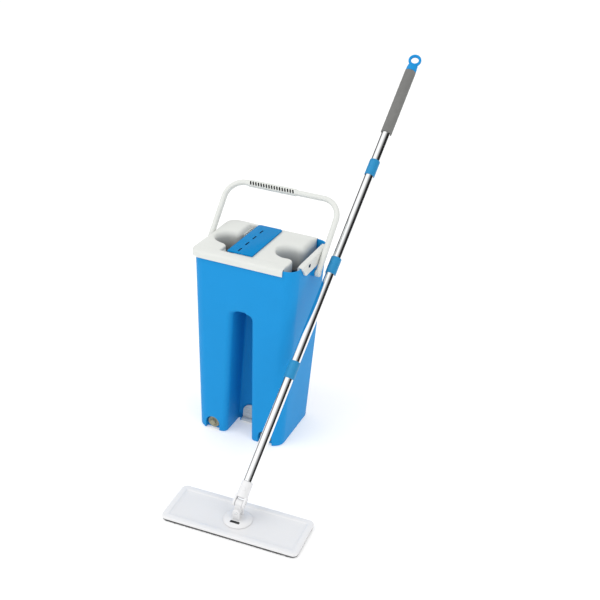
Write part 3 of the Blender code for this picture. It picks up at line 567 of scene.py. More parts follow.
def tuft_tree():
    """Scatters short tufts over the piece that comes in, each leaning its own way, with a fixed seed."""
    sizes = {
        "Density": "NodeSocketFloat",
        "Long": "NodeSocketFloat",
        "Thick": "NodeSocketFloat",
        "Seed": "NodeSocketInt",
        "Finish": "NodeSocketMaterial",
    }
    tree, given, result = new_tree("pile_tufts", sizes)
    spots = add_node(
        tree,
        "GeometryNodeDistributePointsOnFaces",
        {"Mesh": given["Geometry"], "Density": given["Density"], "Seed": given["Seed"]},
    )
    tuft = add_node(
        tree,
        "GeometryNodeMeshCone",
        {"Vertices": 5, "Radius Top": 0.0, "Radius Bottom": given["Thick"], "Depth": given["Long"]},
    )
    lean = add_node(
        tree,
        "FunctionNodeRandomValue",
        {0: (-0.5, -0.5, -3.0), 1: (0.5, 0.5, 3.0), "Seed": given["Seed"]},
        data_type="FLOAT_VECTOR",
    )
    aim = add_node(
        tree,
        "FunctionNodeRotateRotation",
        {"Rotation": spots.outputs["Rotation"], "Rotate By": lean.outputs[0]},
        rotation_space="LOCAL",
    )
    row = add_node(
        tree,
        "GeometryNodeInstanceOnPoints",
        {"Points": spots.outputs[0], "Instance": tuft.outputs[0], "Rotation": aim.outputs[0]},
    )
    solid = add_node(tree, "GeometryNodeRealizeInstances", {"Geometry": row.outputs[0]})
    dressed = add_node(
        tree, "GeometryNodeSetMaterial", {"Geometry": solid.outputs[0], "Material": given["Finish"]}
    )
    tree.links.new(dressed.outputs[0], result[0])
    return tree


TREES = {}


def grow(piece, tree_maker, **values):
    """Runs a tree on a piece with the values that its named inputs take, and keeps the result as its mesh."""
    if tree_maker not in TREES:
        TREES[tree_maker] = tree_maker()
    tree = TREES[tree_maker]
    change = piece.modifiers.new(tree.name, "NODES")
    change.node_group = tree
    for item in tree.interface.items_tree:
        if item.in_out == "INPUT" and item.name in values:
            change[item.identifier] = values[item.name]
    return applied(piece)


# ---------------------------------------------------------------- sizes and colours in the panel
def length(name, description, default):
    return bpy.props.FloatProperty(
        name=name, description=description, default=default, min=0.0, unit="LENGTH", subtype="DISTANCE"
    )


def power(name, description, default):
    return bpy.props.FloatProperty(name=name, description=description, default=default, min=0.0, unit="POWER")


def colour(name, description, default):
    return bpy.props.StringProperty(name=name, description=description, default=default, maxlen=7)


class MopSetBucketSizes(bpy.types.PropertyGroup):
    base_half_x: length("Base half width", "Half width of the bucket at its base", 92.0 * MM)
    base_half_y: length("Base half depth", "Half depth of the bucket at its base", 76.5 * MM)
    rim_half_x: length("Rim half width", "Half width of the bucket at its rim", 106.5 * MM)
    rim_half_y: length("Rim half depth", "Half depth of the bucket at its rim", 85.8 * MM)
    wall: length("Wall", "Thickness of the bucket's wall", 3.0 * MM)
    corner: length("Corner radius", "Radius of the four upright corners", 24.0 * MM)
    foot_edge: length("Foot edge radius", "Rounding round the underside", 4.0 * MM)
    groove_base_half: length("Groove half width at base", "Half width of both grooves at the base", 27.5 * MM)
    groove_top_half: length("Groove half width at top", "Half width of both grooves at their top", 20.5 * MM)
    groove_top: length("Groove height", "Height of the grooves' ceiling", 285.5 * MM)
    groove_round: length("Groove top radius", "Radius of the grooves' top corners", 15.0 * MM)
    groove_mouth_left: length("Left mouth radius", "Rounding of a groove's left-hand mouth", 12.0 * MM)
    groove_mouth_right: length("Right mouth radius", "Rounding of a groove's right-hand mouth", 8.0 * MM)
    web_half: length("Web half thickness", "Half thickness of the web between the grooves", 14.0 * MM)
    plug_x: length("Plug offset", "Distance of each drain plug from the middle", 58.0 * MM)
    plug_z: length("Plug height", "Height of the drain plugs' middle", 15.6 * MM)
    notch: length("Notch radius", "Radius of the arch round each drain plug", 15.2 * MM)
    notch_floor: length("Notch floor", "Distance of the notch's floor from the middle plane", 66.5 * MM)
    drain: length("Drain radius", "Radius of the drain hole", 8.0 * MM)


class MopSetLidSizes(bpy.types.PropertyGroup):
    shell: length("Shell", "Thickness of the lid's moulding", 2.4 * MM)
    edge: length("Edge radius", "Rounding between the lid's top and its skirt", 5.0 * MM)
    corner: length("Corner radius", "Radius of the lid's left-hand corners", 22.0 * MM)
    bay: length("Bay radius", "Radius of the bay in the side of each slot", 28.0 * MM)
    lobe: length("Lobe radius", "Radius between a bay and the straight of its slot", 12.0 * MM)
    front_band: length("Front band", "Width of the flat band along the lid's front", 23.0 * MM)
    rib_step: length("Rib spacing", "Spacing of the wringing comb's ribs", 7.5 * MM)
    dash_step: length("Dash spacing", "Spacing of the slots along the blue cover", 32.0 * MM)


class MopSetMopSizes(bpy.types.PropertyGroup):
    border: length("Head border", "Width of the raised border round the head plate", 11.0 * MM)
    head_corner: length("Head corner radius", "Radius of the head plate's corners", 10.0 * MM)
    tuft: length("Pile length", "Length of the microfibre tufts round the pad's edge", 1.3 * MM)


class MopSetFinishes(bpy.types.PropertyGroup):
    blue: colour("Blue", "Bucket and cover", "#198BCC")
    cover: colour("Cover blue", "Cover between the slots", "#007DBB")
    collar: colour("Collar blue", "Tube connectors", "#1482B6")
    white: colour("Off-white", "Wringer lid, bail and rim strip", "#D3D5D1")
    bright: colour("White", "Mop head and joint", "#DEDEDF")
    panel: colour("Tray white", "Grained floor of the mop head", "#DDDDDE")
    beige: colour("Grey beige", "Drain plugs", "#918F78")
    steel: colour("Steel", "Handle tubes", "#F2F3F4")
    foam: colour("Foam grey", "Handle grip", "#737371")
    fibre: colour("Fibre grey", "Mop pad", "#3C3C3E")
    rubber: colour("Rubber grey", "Scraper lip and plug seals", "#3A3A3A")
    # Dark grey: the hook tape's own colour, and also painted shade on the walls of the bail's grip slots and
    # the hub's slot.
    slot_shade_and_tape_grey: colour("Inlay grey", "Slots of the bail's grip", "#3B3D3E")
    # Painted shade: a deep blue that stands in for the shade inside the slots of the cover and the rim strip.
    painted_slot_shade: colour("Slot blue", "Walls of the cover's slots", "#0E3F66")


class MopSetStage(bpy.types.PropertyGroup):
    key_watts: power("Key light", "Power of the key light", 30.0)
    fill_watts: power("Fill light", "Power of the fill light", 9.0)
    sky: bpy.props.FloatProperty(name="Sky", description="Strength of the even studio light", default=0.95)
    floor: colour("Floor", "Colour of the studio floor", "#E4E4E4")
    lens: bpy.props.FloatProperty(
        name="Lens", description="Focal length in mm on a 36 mm frame", default=59.35
    )


# ---------------------------------------------------------------- bucket
LINING_FRONT = -75.0 * MM
DIVIDER_HALF = 1.5 * MM
DIVIDER_DROP = 32 * MM
BOSS_R = 7.8 * MM
BOSS_HOLE_R = 4.3 * MM
BOSS_HOLE_END = 103.2 * MM
BOSS_ROOT = 101 * MM
LUG_BACK = -13.5 * MM
LUG_FOOT = 0.9 * MM
LUG_INNER, LUG_OUTER = 18.5 * MM, 21.0 * MM
PEDAL_BARREL_R = 4.4 * MM
PEDAL_BORE_R = 2.3 * MM
PEDAL_THICK = 3.6 * MM


def bucket_outline(size, z, inset=0.0, depth_left=None, width_cut=0.0):
    """The bucket's section at a height, anticlockwise, moved inwards by inset.

    depth_left limits how deep the grooves go, and width_cut narrows them, as they do towards their tops.
    """
    share = max(0.0, z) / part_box("bucket_body")[1].z
    half_x = size.base_half_x + (size.rim_half_x - size.base_half_x) * share - inset
    half_y = size.base_half_y + (size.rim_half_y - size.base_half_y) * share - inset
    corner = max(size.corner - inset, 0.5 * MM)
    slope = (size.groove_base_half - size.groove_top_half) / size.groove_top
    width = size.groove_base_half - slope * min(max(z, 0.0), size.groove_top) - width_cut + inset
    web = size.web_half - inset
    inner = min(5.0 * MM, width * 0.6)
    quarters = []
    for side_x, side_y in ((1, -1), (1, 1), (-1, 1), (-1, -1)):
        mouth = size.groove_mouth_right if side_x > 0 else size.groove_mouth_left
        mouth = max(mouth - inset, 0.6 * MM)
        path = [(0.0, web)]
        path += arc((width - inner, web + inner), inner, -90, 0, 5)
        path += [(width, web + inner + (half_y - mouth - web - inner) * t) for t in (0.33, 0.66)]
        path += arc((width + mouth, half_y - mouth), mouth, 180, 90, 8)
        if depth_left is not None:
            path = [(x, max(y, half_y - depth_left)) for x, y in path]
        reach = half_x - corner - width - mouth
        path += [(width + mouth + reach * t, half_y) for t in (0.33, 0.66)]
        path += arc((half_x - corner, half_y - corner), corner, 90, 0, 12)
        path += [(half_x, (half_y - corner) * t) for t in (0.6, 0.25)]
        path = [(x * side_x, y * side_y) for x, y in path]
        quarters.append(path if side_x * side_y < 0 else path[::-1])
    loop = []
    for path in quarters:
        loop += path
    clean = [loop[0]]
    for point in loop[1:]:
        if abs(point[0]) > 1e-9 or abs(clean[-1][0]) > 1e-9:
            clean.append(point)
    if abs(clean[0][0]) < 1e-9 and abs(clean[-1][0]) < 1e-9:
        clean.pop()
    return clean


def bucket_rings(size):
    """Rings up the outside, over the rim and down the inside."""
    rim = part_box("bucket_body")[1].z
    top, turn = size.groove_top, size.groove_round
    steps = 8
    plan = []
    for k in range(5):
        t = math.pi / 2 * k / 4
        plan.append((size.foot_edge * (1 - math.cos(t)), size.foot_edge * (1 - math.sin(t)), None, 0.0))
    plan += [(z * MM, 0.0, None, 0.0) for z in (30, 80, 140, 200, 245)]
    plan += wall_top(top, turn, 0.0, 6.0 * MM, steps)
    plan += [(z * MM, 0.0, 0.0, turn) for z in (325, 365)]
    lip = 1.2 * MM
    for k in range(4):
        t = math.pi / 2 * k / 3
        plan.append((rim - lip * (1 - math.sin(t)), lip * (1 - math.cos(t)), 0.0, turn))
    wall = size.wall
    for k in range(4):
        t = math.pi / 2 * k / 3
        plan.append((rim - lip * (1 - math.cos(t)), wall - lip * (1 - math.sin(t)), 0.0, turn))
    plan += [(z * MM, wall, 0.0, turn) for z in (365, 325)]
    plan += reversed(wall_top(top + wall, turn, wall, 3.0 * MM, steps))
    plan += [(z * MM, wall, None, 0.0) for z in (245, 200, 140, 80, 30)]
    plan.append((wall, wall, None, 0.0))
    rings = []
    for z, inset, depth, narrow in plan:
        rings.append([(x, y, z) for x, y in bucket_outline(size, z, inset, depth, narrow)])
    return rings


def wall_top(top, turn, inset, mouth, steps):
    """The rings in which a groove narrows to its rounded top and then closes, with a soft edge over it."""
    plan = []
    for k in range(steps + 1):
        t = math.pi / 2 * k / steps
        plan.append((top - turn + turn * math.sin(t), inset, None, turn * (1 - math.cos(t))))
    for k in range(7):
        t = math.pi / 2 * k / 6
        plan.append((top + mouth * (1 - math.cos(t)), inset, mouth * (1 - math.sin(t)), turn))
    return plan


def notch_shape(size, name, side, grow, near, far):
    """The arch-shaped block that a plug's recess is cut from, or lined with."""
    radius = size.notch + grow
    low = -10.0 * MM if not grow else 1.0 * MM
    outline = [(side * size.plug_x - radius, low), (side * size.plug_x + radius, low)]
    outline += arc((side * size.plug_x, size.plug_z), radius, 0, 180, 24)
    shape = bmesh.new()
    add_loft(shape, [[(x, y, z) for x, z in outline] for y in (near, far)])
    return show(name, mesh_from(shape, name))


class MOPSET_OT_bucket(bpy.types.Operator):
    """Build the two-chamber bucket with its grooves, plug recesses, bosses and pedal lugs"""

    bl_idname = "mopset.bucket"
    bl_label = "Bucket"

    def execute(self, context):
        size = context.scene.mop_set_bucket
        shape = bmesh.new()
        add_loft(shape, bucket_rings(size))
        bucket = show("bucket_shell", mesh_from(shape, "bucket_shell", 40))
        floor = -size.notch_floor
        for side, name in ((-1, "dry"), (1, "wash")):
            lining = notch_shape(size, f"lining_{name}", side, size.wall, LINING_FRONT, floor + size.wall)
            recess = notch_shape(size, f"recess_{name}", side, 0.0, -0.12, floor)
            hole = bmesh.new()
            place = Matrix.Translation((side * size.plug_x, floor, size.plug_z)) @ turn_to((0, 1, 0))
            add_turned(hole, [(0, -0.01), (size.drain, -0.01), (size.drain, 0.01), (0, 0.01)], place, 48)
            carve(bucket, "UNION", lining)
            carve(bucket, "DIFFERENCE", recess, show(f"drain_{name}", mesh_from(hole, "drain")))
        extras = bmesh.new()
        self.divider(extras, size)
        self.bosses(extras)
        self.lugs(extras)
        fittings = show("bucket_fittings", mesh_from(extras, "bucket_fittings"))
        for piece, replaced in ((bucket, ("bucket_body",)), (fittings, ())):
            piece.data.materials.clear()
            piece.data.materials.append(finish("blue"))
            applied(piece, 40)
            settle(piece, "bucket", "blue_plastic", *replaced)
        return {"FINISHED"}

    def divider(self, shape, size):
        """The wall between the dry and the wash chamber, inside the web and above it."""
        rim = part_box("bucket_body")[1].z
        low_half = size.web_half - size.wall + 0.5 * MM
        high_half = size.rim_half_y - size.wall - 0.2 * MM
        top = rim - DIVIDER_DROP
        ceiling = size.groove_top + size.wall + 0.5 * MM
        side = [(-low_half, 2 * MM), (low_half, 2 * MM), (low_half, ceiling), (high_half - 1.5 * MM, ceiling)]
        side += [(high_half, top), (-high_half, top), (-high_half + 1.5 * MM, ceiling), (-low_half, ceiling)]
        add_loft(shape, [[(x, y, z) for y, z in side] for x in (-DIVIDER_HALF, DIVIDER_HALF)])

    def bosses(self, shape):
        """The bail's two pivot bosses, each with a blind hole for its pin."""
        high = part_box("bucket_body")[1].x
        for side in (-1, 1):
            place = Matrix.Translation(BAIL_PIVOT) @ turn_to((side, 0, 0))
            profile = [(0, BOSS_HOLE_END), (BOSS_HOLE_R, BOSS_HOLE_END), (BOSS_HOLE_R, high)]
            profile += soften([(BOSS_HOLE_R, high), (BOSS_R, high), (BOSS_R, BOSS_ROOT)], 1.0 * MM)
            profile += [(0, BOSS_ROOT)]
            add_turned(shape, profile, place, 48)

    def lugs(self, shape):
        """The two lugs on the web that hold the pedal's pin."""
        hinge = JOINTS["pedal_fold"]["pos_m"]
        radius = PEDAL_BARREL_R
        outline = [(LUG_BACK, LUG_FOOT), (LUG_BACK, hinge[2] + radius)]
        outline += arc((hinge[1], hinge[2]), radius, 90, 270, 12)
        outline = [(y, max(z, LUG_FOOT)) for y, z in outline]
        for side in (-1, 1):
            ends = (side * LUG_INNER, side * LUG_OUTER)
            add_loft(shape, [[(x, y, z) for y, z in outline] for x in ends])


# ---------------------------------------------------------------- wringer lid
SKIRT_DROP = 13.6 * MM
DRY_SLOT_LEFT = -57.5 * MM
DRY_SLOT_RIGHT = -30.0 * MM
TOP_GRID_STEP = 4.0 * MM
COVER_THICK = 3.0 * MM


def slot_side(lobe_x, bay, sizes, front, back, steps=10):
    """A slot's wavy left side from its back end to its front end, with the outward direction at each point.

    Two straight lobes run into a round bay between them over rounded corners.
    """
    bay_r, lobe_r = sizes.bay, sizes.lobe
    mid_x = lobe_x - lobe_r
    offset = math.sqrt((bay_r + lobe_r) ** 2 - (mid_x - bay[0]) ** 2)
    lean = math.degrees(math.atan2(offset, mid_x - bay[0]))
    path = []
    straight = 8
    for k in range(straight):
        y = back + (bay[1] + offset - back) * k / straight
        path.append(((lobe_x, y), (-1.0, 0.0)))
    for k in range(steps + 1):
        angle = math.radians((lean - 180) * k / steps)
        into = (math.cos(angle), math.sin(angle))
        path.append(((mid_x + lobe_r * into[0], bay[1] + offset + lobe_r * into[1]), (-into[0], -into[1])))
    for k in range(1, 2 * steps):
        angle = math.radians(lean + (360 - 2 * lean) * k / (2 * steps))
        out = (math.cos(angle), math.sin(angle))
        path.append(((bay[0] + bay_r * out[0], bay[1] + bay_r * out[1]), out))
    for k in range(steps + 1):
        angle = math.radians((180 - lean) * (1 - k / steps))
        into = (math.cos(angle), math.sin(angle))
        path.append(((mid_x + lobe_r * into[0], bay[1] - offset + lobe_r * into[1]), (-into[0], -into[1])))
    for k in range(1, straight + 1):
        y = bay[1] - offset + (front - bay[1] + offset) * k / straight
        path.append(((lobe_x, y), (-1.0, 0.0)))
    return path


class LidForm:
    """The lid's top: an outline, two slots with flared walls, and gently crowned surfaces between them."""

    def __init__(self, sizes):
        self.sizes = sizes
        self.low, self.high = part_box("wringer_lid")
        self.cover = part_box("scraper_cover")
        self.dry_bay = (-66.5 * MM, -2.0 * MM)
        self.wash_bay = (61.0 * MM, -4.0 * MM)
        self.slot_front = -62.0 * MM
        self.slot_back = 78.0 * MM

    def top(self, x, y):
        """Height of the crowned top surface."""
        inner = self.low.y + self.sizes.front_band
        band = smooth_step(y, inner - 2 * MM, inner + 3 * MM)
        rear = math.exp(-(((x + 82 * MM) / (30 * MM)) ** 2) - ((y - 52 * MM) / (30 * MM)) ** 2)
        fore = math.exp(-(((x + 86 * MM) / (22 * MM)) ** 2) - ((y + 42 * MM) / (20 * MM)) ** 2)
        right = math.exp(-(((x - 40 * MM) / (26 * MM)) ** 2) - ((y - 40 * MM) / (36 * MM)) ** 2)
        height = self.high.z - 0.3 * MM - 1.2 * MM * band
        height += band * (2.4 * MM * rear + 1.6 * MM * fore + 0.8 * MM * right)
        if self.under_cover(x, y):
            height = self.cover[1].z - 3.3 * MM
        return height

    def under_cover(self, x, y):
        low, high = self.cover
        return low.x - 0.4 * MM < x < high.x + 0.35 * MM and low.y - 0.35 * MM < y < high.y + 0.35 * MM

    def dry_reach(self, y):
        return (3.5 + 7.0 * smooth_step(y, -30 * MM, 22 * MM)) * MM

    def wash_reach(self, y):
        fade = smooth_step(y, self.low.y + 8 * MM, self.low.y + 26 * MM) * smooth_step(-y, -84 * MM, -70 * MM)
        return (0.4 + fade * (2.6 + 8.4 * smooth_step(y, -14 * MM, 16 * MM))) * MM


class MOPSET_OT_lid(bpy.types.Operator):
    """Build the off-white wringer lid with its flared slots, crowned top and skirt"""

    bl_idname = "mopset.lid"
    bl_label = "Wringer lid"

    def execute(self, context):
        form = LidForm(context.scene.mop_set_lid)
        sizes = form.sizes
        shape = bmesh.new()
        dry = self.dry_columns(form)
        wash = self.wash_columns(form)
        skirt = self.skirt_columns(form, wash)
        self.add_sheet(shape, form, dry, wash, skirt)
        bmesh.ops.remove_doubles(shape, verts=shape.verts, dist=2e-5)
        bmesh.ops.recalc_face_normals(shape, faces=shape.faces)
        if sum(face.normal.z * face.calc_area() for face in shape.faces) < 0:
            bmesh.ops.reverse_faces(shape, faces=shape.faces)
        lid = show("lid_moulding", mesh_from(shape, "lid_moulding", 50, outward=False))
        wall = lid.modifiers.new("shell", "SOLIDIFY")
        wall.thickness = sizes.shell
        wall.offset = -1.0
        wall.use_even_offset = True
        lid.data.materials.append(finish("lid"))
        applied(lid, 50)
        settle(lid, "lid", "white_plastic", "wringer_lid")
        return {"FINISHED"}

    def column(self, form, point, out, reach, bottom, steps=7):
        """Points from the top surface down a flared wall: an elliptical flare and then a straight drop."""
        deep = reach * 1.35
        top = form.top(point[0] + out[0] * reach, point[1] + out[1] * reach)
        column = []
        for k in range(steps + 1):
            t = math.pi / 2 * (1 - k / steps)
            away = reach * (1 - math.cos(t))
            height = top - deep * (1 - math.sin(t))
            column.append((point[0] + out[0] * away, point[1] + out[1] * away, height))
        column.append((point[0], point[1], min(bottom, column[-1][2] - 0.2 * MM)))
        return column

    def dry_columns(self, form):
        """The dry slot's walls all the way round."""
        bottom = form.low.z + 0.2 * MM
        lobe_x = DRY_SLOT_LEFT
        right_x = DRY_SLOT_RIGHT
        path = slot_side(lobe_x, form.dry_bay, form.sizes, form.slot_front, form.slot_back)
        columns = [self.column(form, p, out, form.dry_reach(p[1]), bottom) for p, out in path]
        front, back = form.slot_front, form.slot_back
        count = 6
        small = 1.2 * MM
        for k in range(1, count):
            x = lobe_x + (right_x - lobe_x) * k / count
            columns.append(self.column(form, (x, front), (0, -1), small, bottom))
        for k in range(count + 1):
            y = front + (back - front) * k / count
            columns.append(self.column(form, (right_x, y), (0, 0), small, bottom))
        for k in range(1, count):
            x = right_x + (lobe_x - right_x) * k / count
            columns.append(self.column(form, (x, back), (0, 1), small, bottom))
        return columns

    def wash_columns(self, form):
        """The lid's right side: a wall along the wash slot, short where it crosses the bucket's rim."""
        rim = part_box("bucket_body")[1].z
        edge = form.high.y - form.sizes.edge
        right = form.high.x
        ends = [
            (((right, form.slot_back + (edge - form.slot_back) * t), (-1.0, 0.0)))
            for t in (1.0, 0.8, 0.6, 0.4, 0.2)
        ]
        path = ends + slot_side(right, form.wash_bay, form.sizes, form.slot_front, form.slot_back)
        front_edge = form.low.y + form.sizes.edge
        path += [
            (((right, form.slot_front + (front_edge - form.slot_front) * t), (-1.0, 0.0)))
            for t in (0.2, 0.4, 0.6, 0.8, 1.0)
        ]
        columns = []
        for point, out in path:
            clear = abs(point[1]) < 79.5 * MM
            bottom = form.low.z + 0.2 * MM if clear else rim + 0.8 * MM
            columns.append(self.column(form, point, out, form.wash_reach(point[1]), bottom))
        return columns

    def skirt_columns(self, form, wash):
        """The rounded edge and skirt along the front, the left and the back."""
        sizes = form.sizes
        low, high = form.low, form.high
        corners = [(high.x, low.y), (low.x, low.y), (low.x, high.y), (high.x, high.y)]
        path = soften(corners, [0, sizes.corner, sizes.corner, 0], 14)
        dense = []
        for a, b in zip(path, path[1:]):
            parts = max(1, int((Vector(b) - Vector(a)).length / (9 * MM)))
            dense += [tuple(Vector(a).lerp(Vector(b), k / parts)) for k in range(parts)]
        dense.append(path[-1])
        columns = []
        for i, point in enumerate(dense):
            into = Vector(dense[min(i + 1, len(dense) - 1)]) - Vector(dense[max(i - 1, 0)])
            inward = Vector((into.y, -into.x)).normalized()
            if i == 0:
                inward = Vector((0, 1))
            if i == len(dense) - 1:
                inward = Vector((0, -1))
            start = Vector(point) + inward * sizes.edge
            top = form.top(start.x, start.y)
            column = []
            for k in range(7):
                t = math.pi / 2 * k / 6
                spot = start - inward * sizes.edge * math.sin(t)
                column.append((spot.x, spot.y, top - sizes.edge * (1 - math.cos(t))))
            column.append((point[0], point[1], high.z - SKIRT_DROP))
            columns.append(column)
        return columns

    def add_sheet(self, shape, form, dry, wash, skirt):
        """The walls and the triangulated top surface that joins them."""
        for columns, closed in ((dry, True), (wash, False), (skirt, False)):
            add_loft(shape, columns_to_rings(columns), closed=closed, caps=(False, False))
        dry_loop = [column[0] for column in dry]
        outer = [column[0] for column in skirt] + [column[0] for column in wash][1:-1]
        low, high = form.cover
        ledge = soften(
            [
                (high.x + 0.35 * MM, low.y - 0.35 * MM),
                (high.x + 0.35 * MM, high.y + 0.35 * MM),
                (low.x - 0.4 * MM, high.y + 0.35 * MM),
                (low.x - 0.4 * MM, low.y - 0.35 * MM),
            ],
            [0, 6 * MM, 6 * MM, 0],
            5,
            closed=True,
        )
        loops = [[p[:2] for p in outer], [p[:2] for p in dry_loop], ledge]
        points, edges = [], []
        for loop in loops:
            start = len(points)
            points += [Vector(p) for p in loop]
            edges += [(start + i, start + (i + 1) % len(loop)) for i in range(len(loop))]
        step = TOP_GRID_STEP
        for i in range(int((form.high.x - form.low.x) / step)):
            for j in range(int((form.high.y - form.low.y) / step)):
                spot = (form.low.x + (i + 0.5 + 0.5 * (j % 2)) * step, form.low.y + (j + 0.5) * step)
                if inside(spot, loops[0], 2.2 * MM) and not inside(spot, loops[1], -2.2 * MM):
                    points.append(Vector(spot))
        flat, _, faces, origin, _, _ = delaunay_2d_cdt(points, edges, [], 0, 1e-7)
        heights = {}
        for i, p in enumerate(outer):
            heights[i] = p[2]
        for i, p in enumerate(dry_loop):
            heights[len(outer) + i] = p[2]
        made = []
        for spot, sources in zip(flat, origin):
            known = [heights[s] for s in sources if s in heights]
            made.append(shape.verts.new((spot.x, spot.y, known[0] if known else form.top(spot.x, spot.y))))
        for face in faces:
            middle = sum((flat[i] for i in face), Vector((0, 0))) / len(face)
            if inside(middle, loops[0]) and not inside(middle, loops[1]):
                shape.faces.new([made[i] for i in face])


def columns_to_rings(columns):
    return [list(ring) for ring in zip(*columns)]


def inside(point, loop, margin=0.0):
    """Whether a point is in a closed loop. A margin asks for that far inside, or allows that far outside."""
    x, y = point[0], point[1]
    within = False
    nearest = 1.0
    count = len(loop)
    for i in range(count):
        ax, ay = loop[i][0], loop[i][1]
        bx, by = loop[(i + 1) % count][0], loop[(i + 1) % count][1]
        if (ay > y) != (by > y) and x < (bx - ax) * (y - ay) / (by - ay) + ax:
            within = not within
        if margin:
            dx, dy = bx - ax, by - ay
            t = max(0.0, min(1.0, ((x - ax) * dx + (y - ay) * dy) / (dx * dx + dy * dy + 1e-18)))
            nearest = min(nearest, math.hypot(x - ax - t * dx, y - ay - t * dy))
    if margin > 0:
        return within and nearest > margin
    if margin < 0:
        return within or nearest < -margin
    return within


class MOPSET_OT_combs(bpy.types.Operator):
    """Build the two rib combs on the dry slot's lobes"""

    bl_idname = "mopset.combs"
    bl_label = "Wringing combs"

    def execute(self, context):
        step = context.scene.mop_set_lid.rib_step
        for name in ("comb_front", "comb_back"):
            low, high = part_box(name)
            back = 2.0 * MM
            half = ((high.z - low.z) / 2, (high.y - low.y) / 2)
            face = (low.x, (low.y + high.y) / 2, (low.z + high.z) / 2)
            place = frame_of(face, UP, Vector((0, 1, 0)), Vector((1, 0, 0)))
            shape = bmesh.new()
            add_slab(shape, rounded_rectangle(half, 1.5 * MM, 4), 0.0, back, 0.5 * MM, place)
            comb = show(f"{name}_ribs", mesh_from(shape, name))
            count = int((high.y - low.y) / step)
            margin = (high.y - low.y - (count - 1) * step) / 2
            grow(
                comb,
                bar_row_tree,
                Count=count,
                Start=(low.x + back / 2, low.y + margin, (low.z + high.z) / 2),
                Step=(0.0, step, 0.0),
                Turn=(0.0, math.pi / 2, 0.0),
                Long=high.z - low.z - 1.5 * MM,
                Wide=1.7 * MM,
                Deep=high.x - low.x - back / 2,
                Finish=finish("white"),
            )
            dress(comb, "white")
            settle(comb, "lid", "white_plastic", name)
        return {"FINISHED"}


def dress(piece, *names):
    """Gives a piece its finishes in slot order, and keeps the faces' own slots."""
    piece.data.materials.clear()
    for name in names:
        piece.data.materials.append(finish(name))
    if len(names) == 1:
        for face in piece.data.polygons:
            face.material_index = 0
    return piece


class MOPSET_OT_cover(bpy.types.Operator):
    """Build the blue cover between the slots, with its row of slots, its flange and the scraper lip"""

    bl_idname = "mopset.cover"
    bl_label = "Scraper cover"

    def execute(self, context):
        low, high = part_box("scraper_cover")
        bottom = high.z - COVER_THICK
        corners = [(high.x, low.y), (high.x, high.y), (low.x, high.y), (low.x, low.y)]
        outline = soften(corners, [0.8 * MM, 6 * MM, 6 * MM, 0.8 * MM], 8, True)
        shape = bmesh.new()
        add_slab(shape, outline, bottom, high.z, 0.8 * MM, Matrix())
        cover = show("cover_plate", mesh_from(shape, "cover_plate"), "cover")
        step = context.scene.mop_set_lid.dash_step
        grow(
            cover,
            slot_row_tree,
            Count=4,
            Start=(-24.0 * MM, -1.5 * step, high.z - 2.3 * MM),
            Step=(0.0, step, 0.0),
            Turn=(0.0, 0.0, math.pi / 2),
            Long=16.0 * MM,
            Wide=3.0 * MM,
            Deep=6.0 * MM,
            # The slot walls are painted deep blue as shade.
            Finish=finish("painted_slot_shade"),
        )
        lip_low, lip_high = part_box("scraper_lip")
        shape = bmesh.new()
        near, far = lip_high.x + 0.3 * MM, lip_high.x + 2.5 * MM
        top = bottom + 1 * MM
        side = [(near, low.z), (far, low.z), (far, top), (near, top)]
        side = soften(side, 0.7 * MM, 3, True)
        add_loft(shape, [[(x, y, z) for x, z in side] for y in (lip_low.y, lip_high.y)])
        web = show("cover_flange", mesh_from(shape, "cover_flange"), "blue")
        applied(web)
        settle(cover, "cover", "blue_plastic", "scraper_cover")
        settle(web, "cover", "blue_plastic")
        self.lip(lip_low, lip_high)
        return {"FINISHED"}

    def lip(self, low, high):
        """A soft blade: thick at its root on the flange and thin along its wiping edge."""
        wide = high.x - low.x
        side = [(high.x, low.z), (high.x, high.z), (high.x - wide * 0.6, high.z)]
        side += [(low.x, low.z + 7 * MM), (low.x, low.z + 5 * MM), (high.x - wide * 0.5, low.z)]
        side = soften(side, 0.5 * MM, 4, True)
        shape = bmesh.new()
        add_loft(shape, [[(x, y, z) for x, z in side] for y in (low.y, high.y)])
        blade = show("wiping_lip", mesh_from(shape, "wiping_lip"), "rubber")
        settle(blade, "cover", "rubber", "scraper_lip")


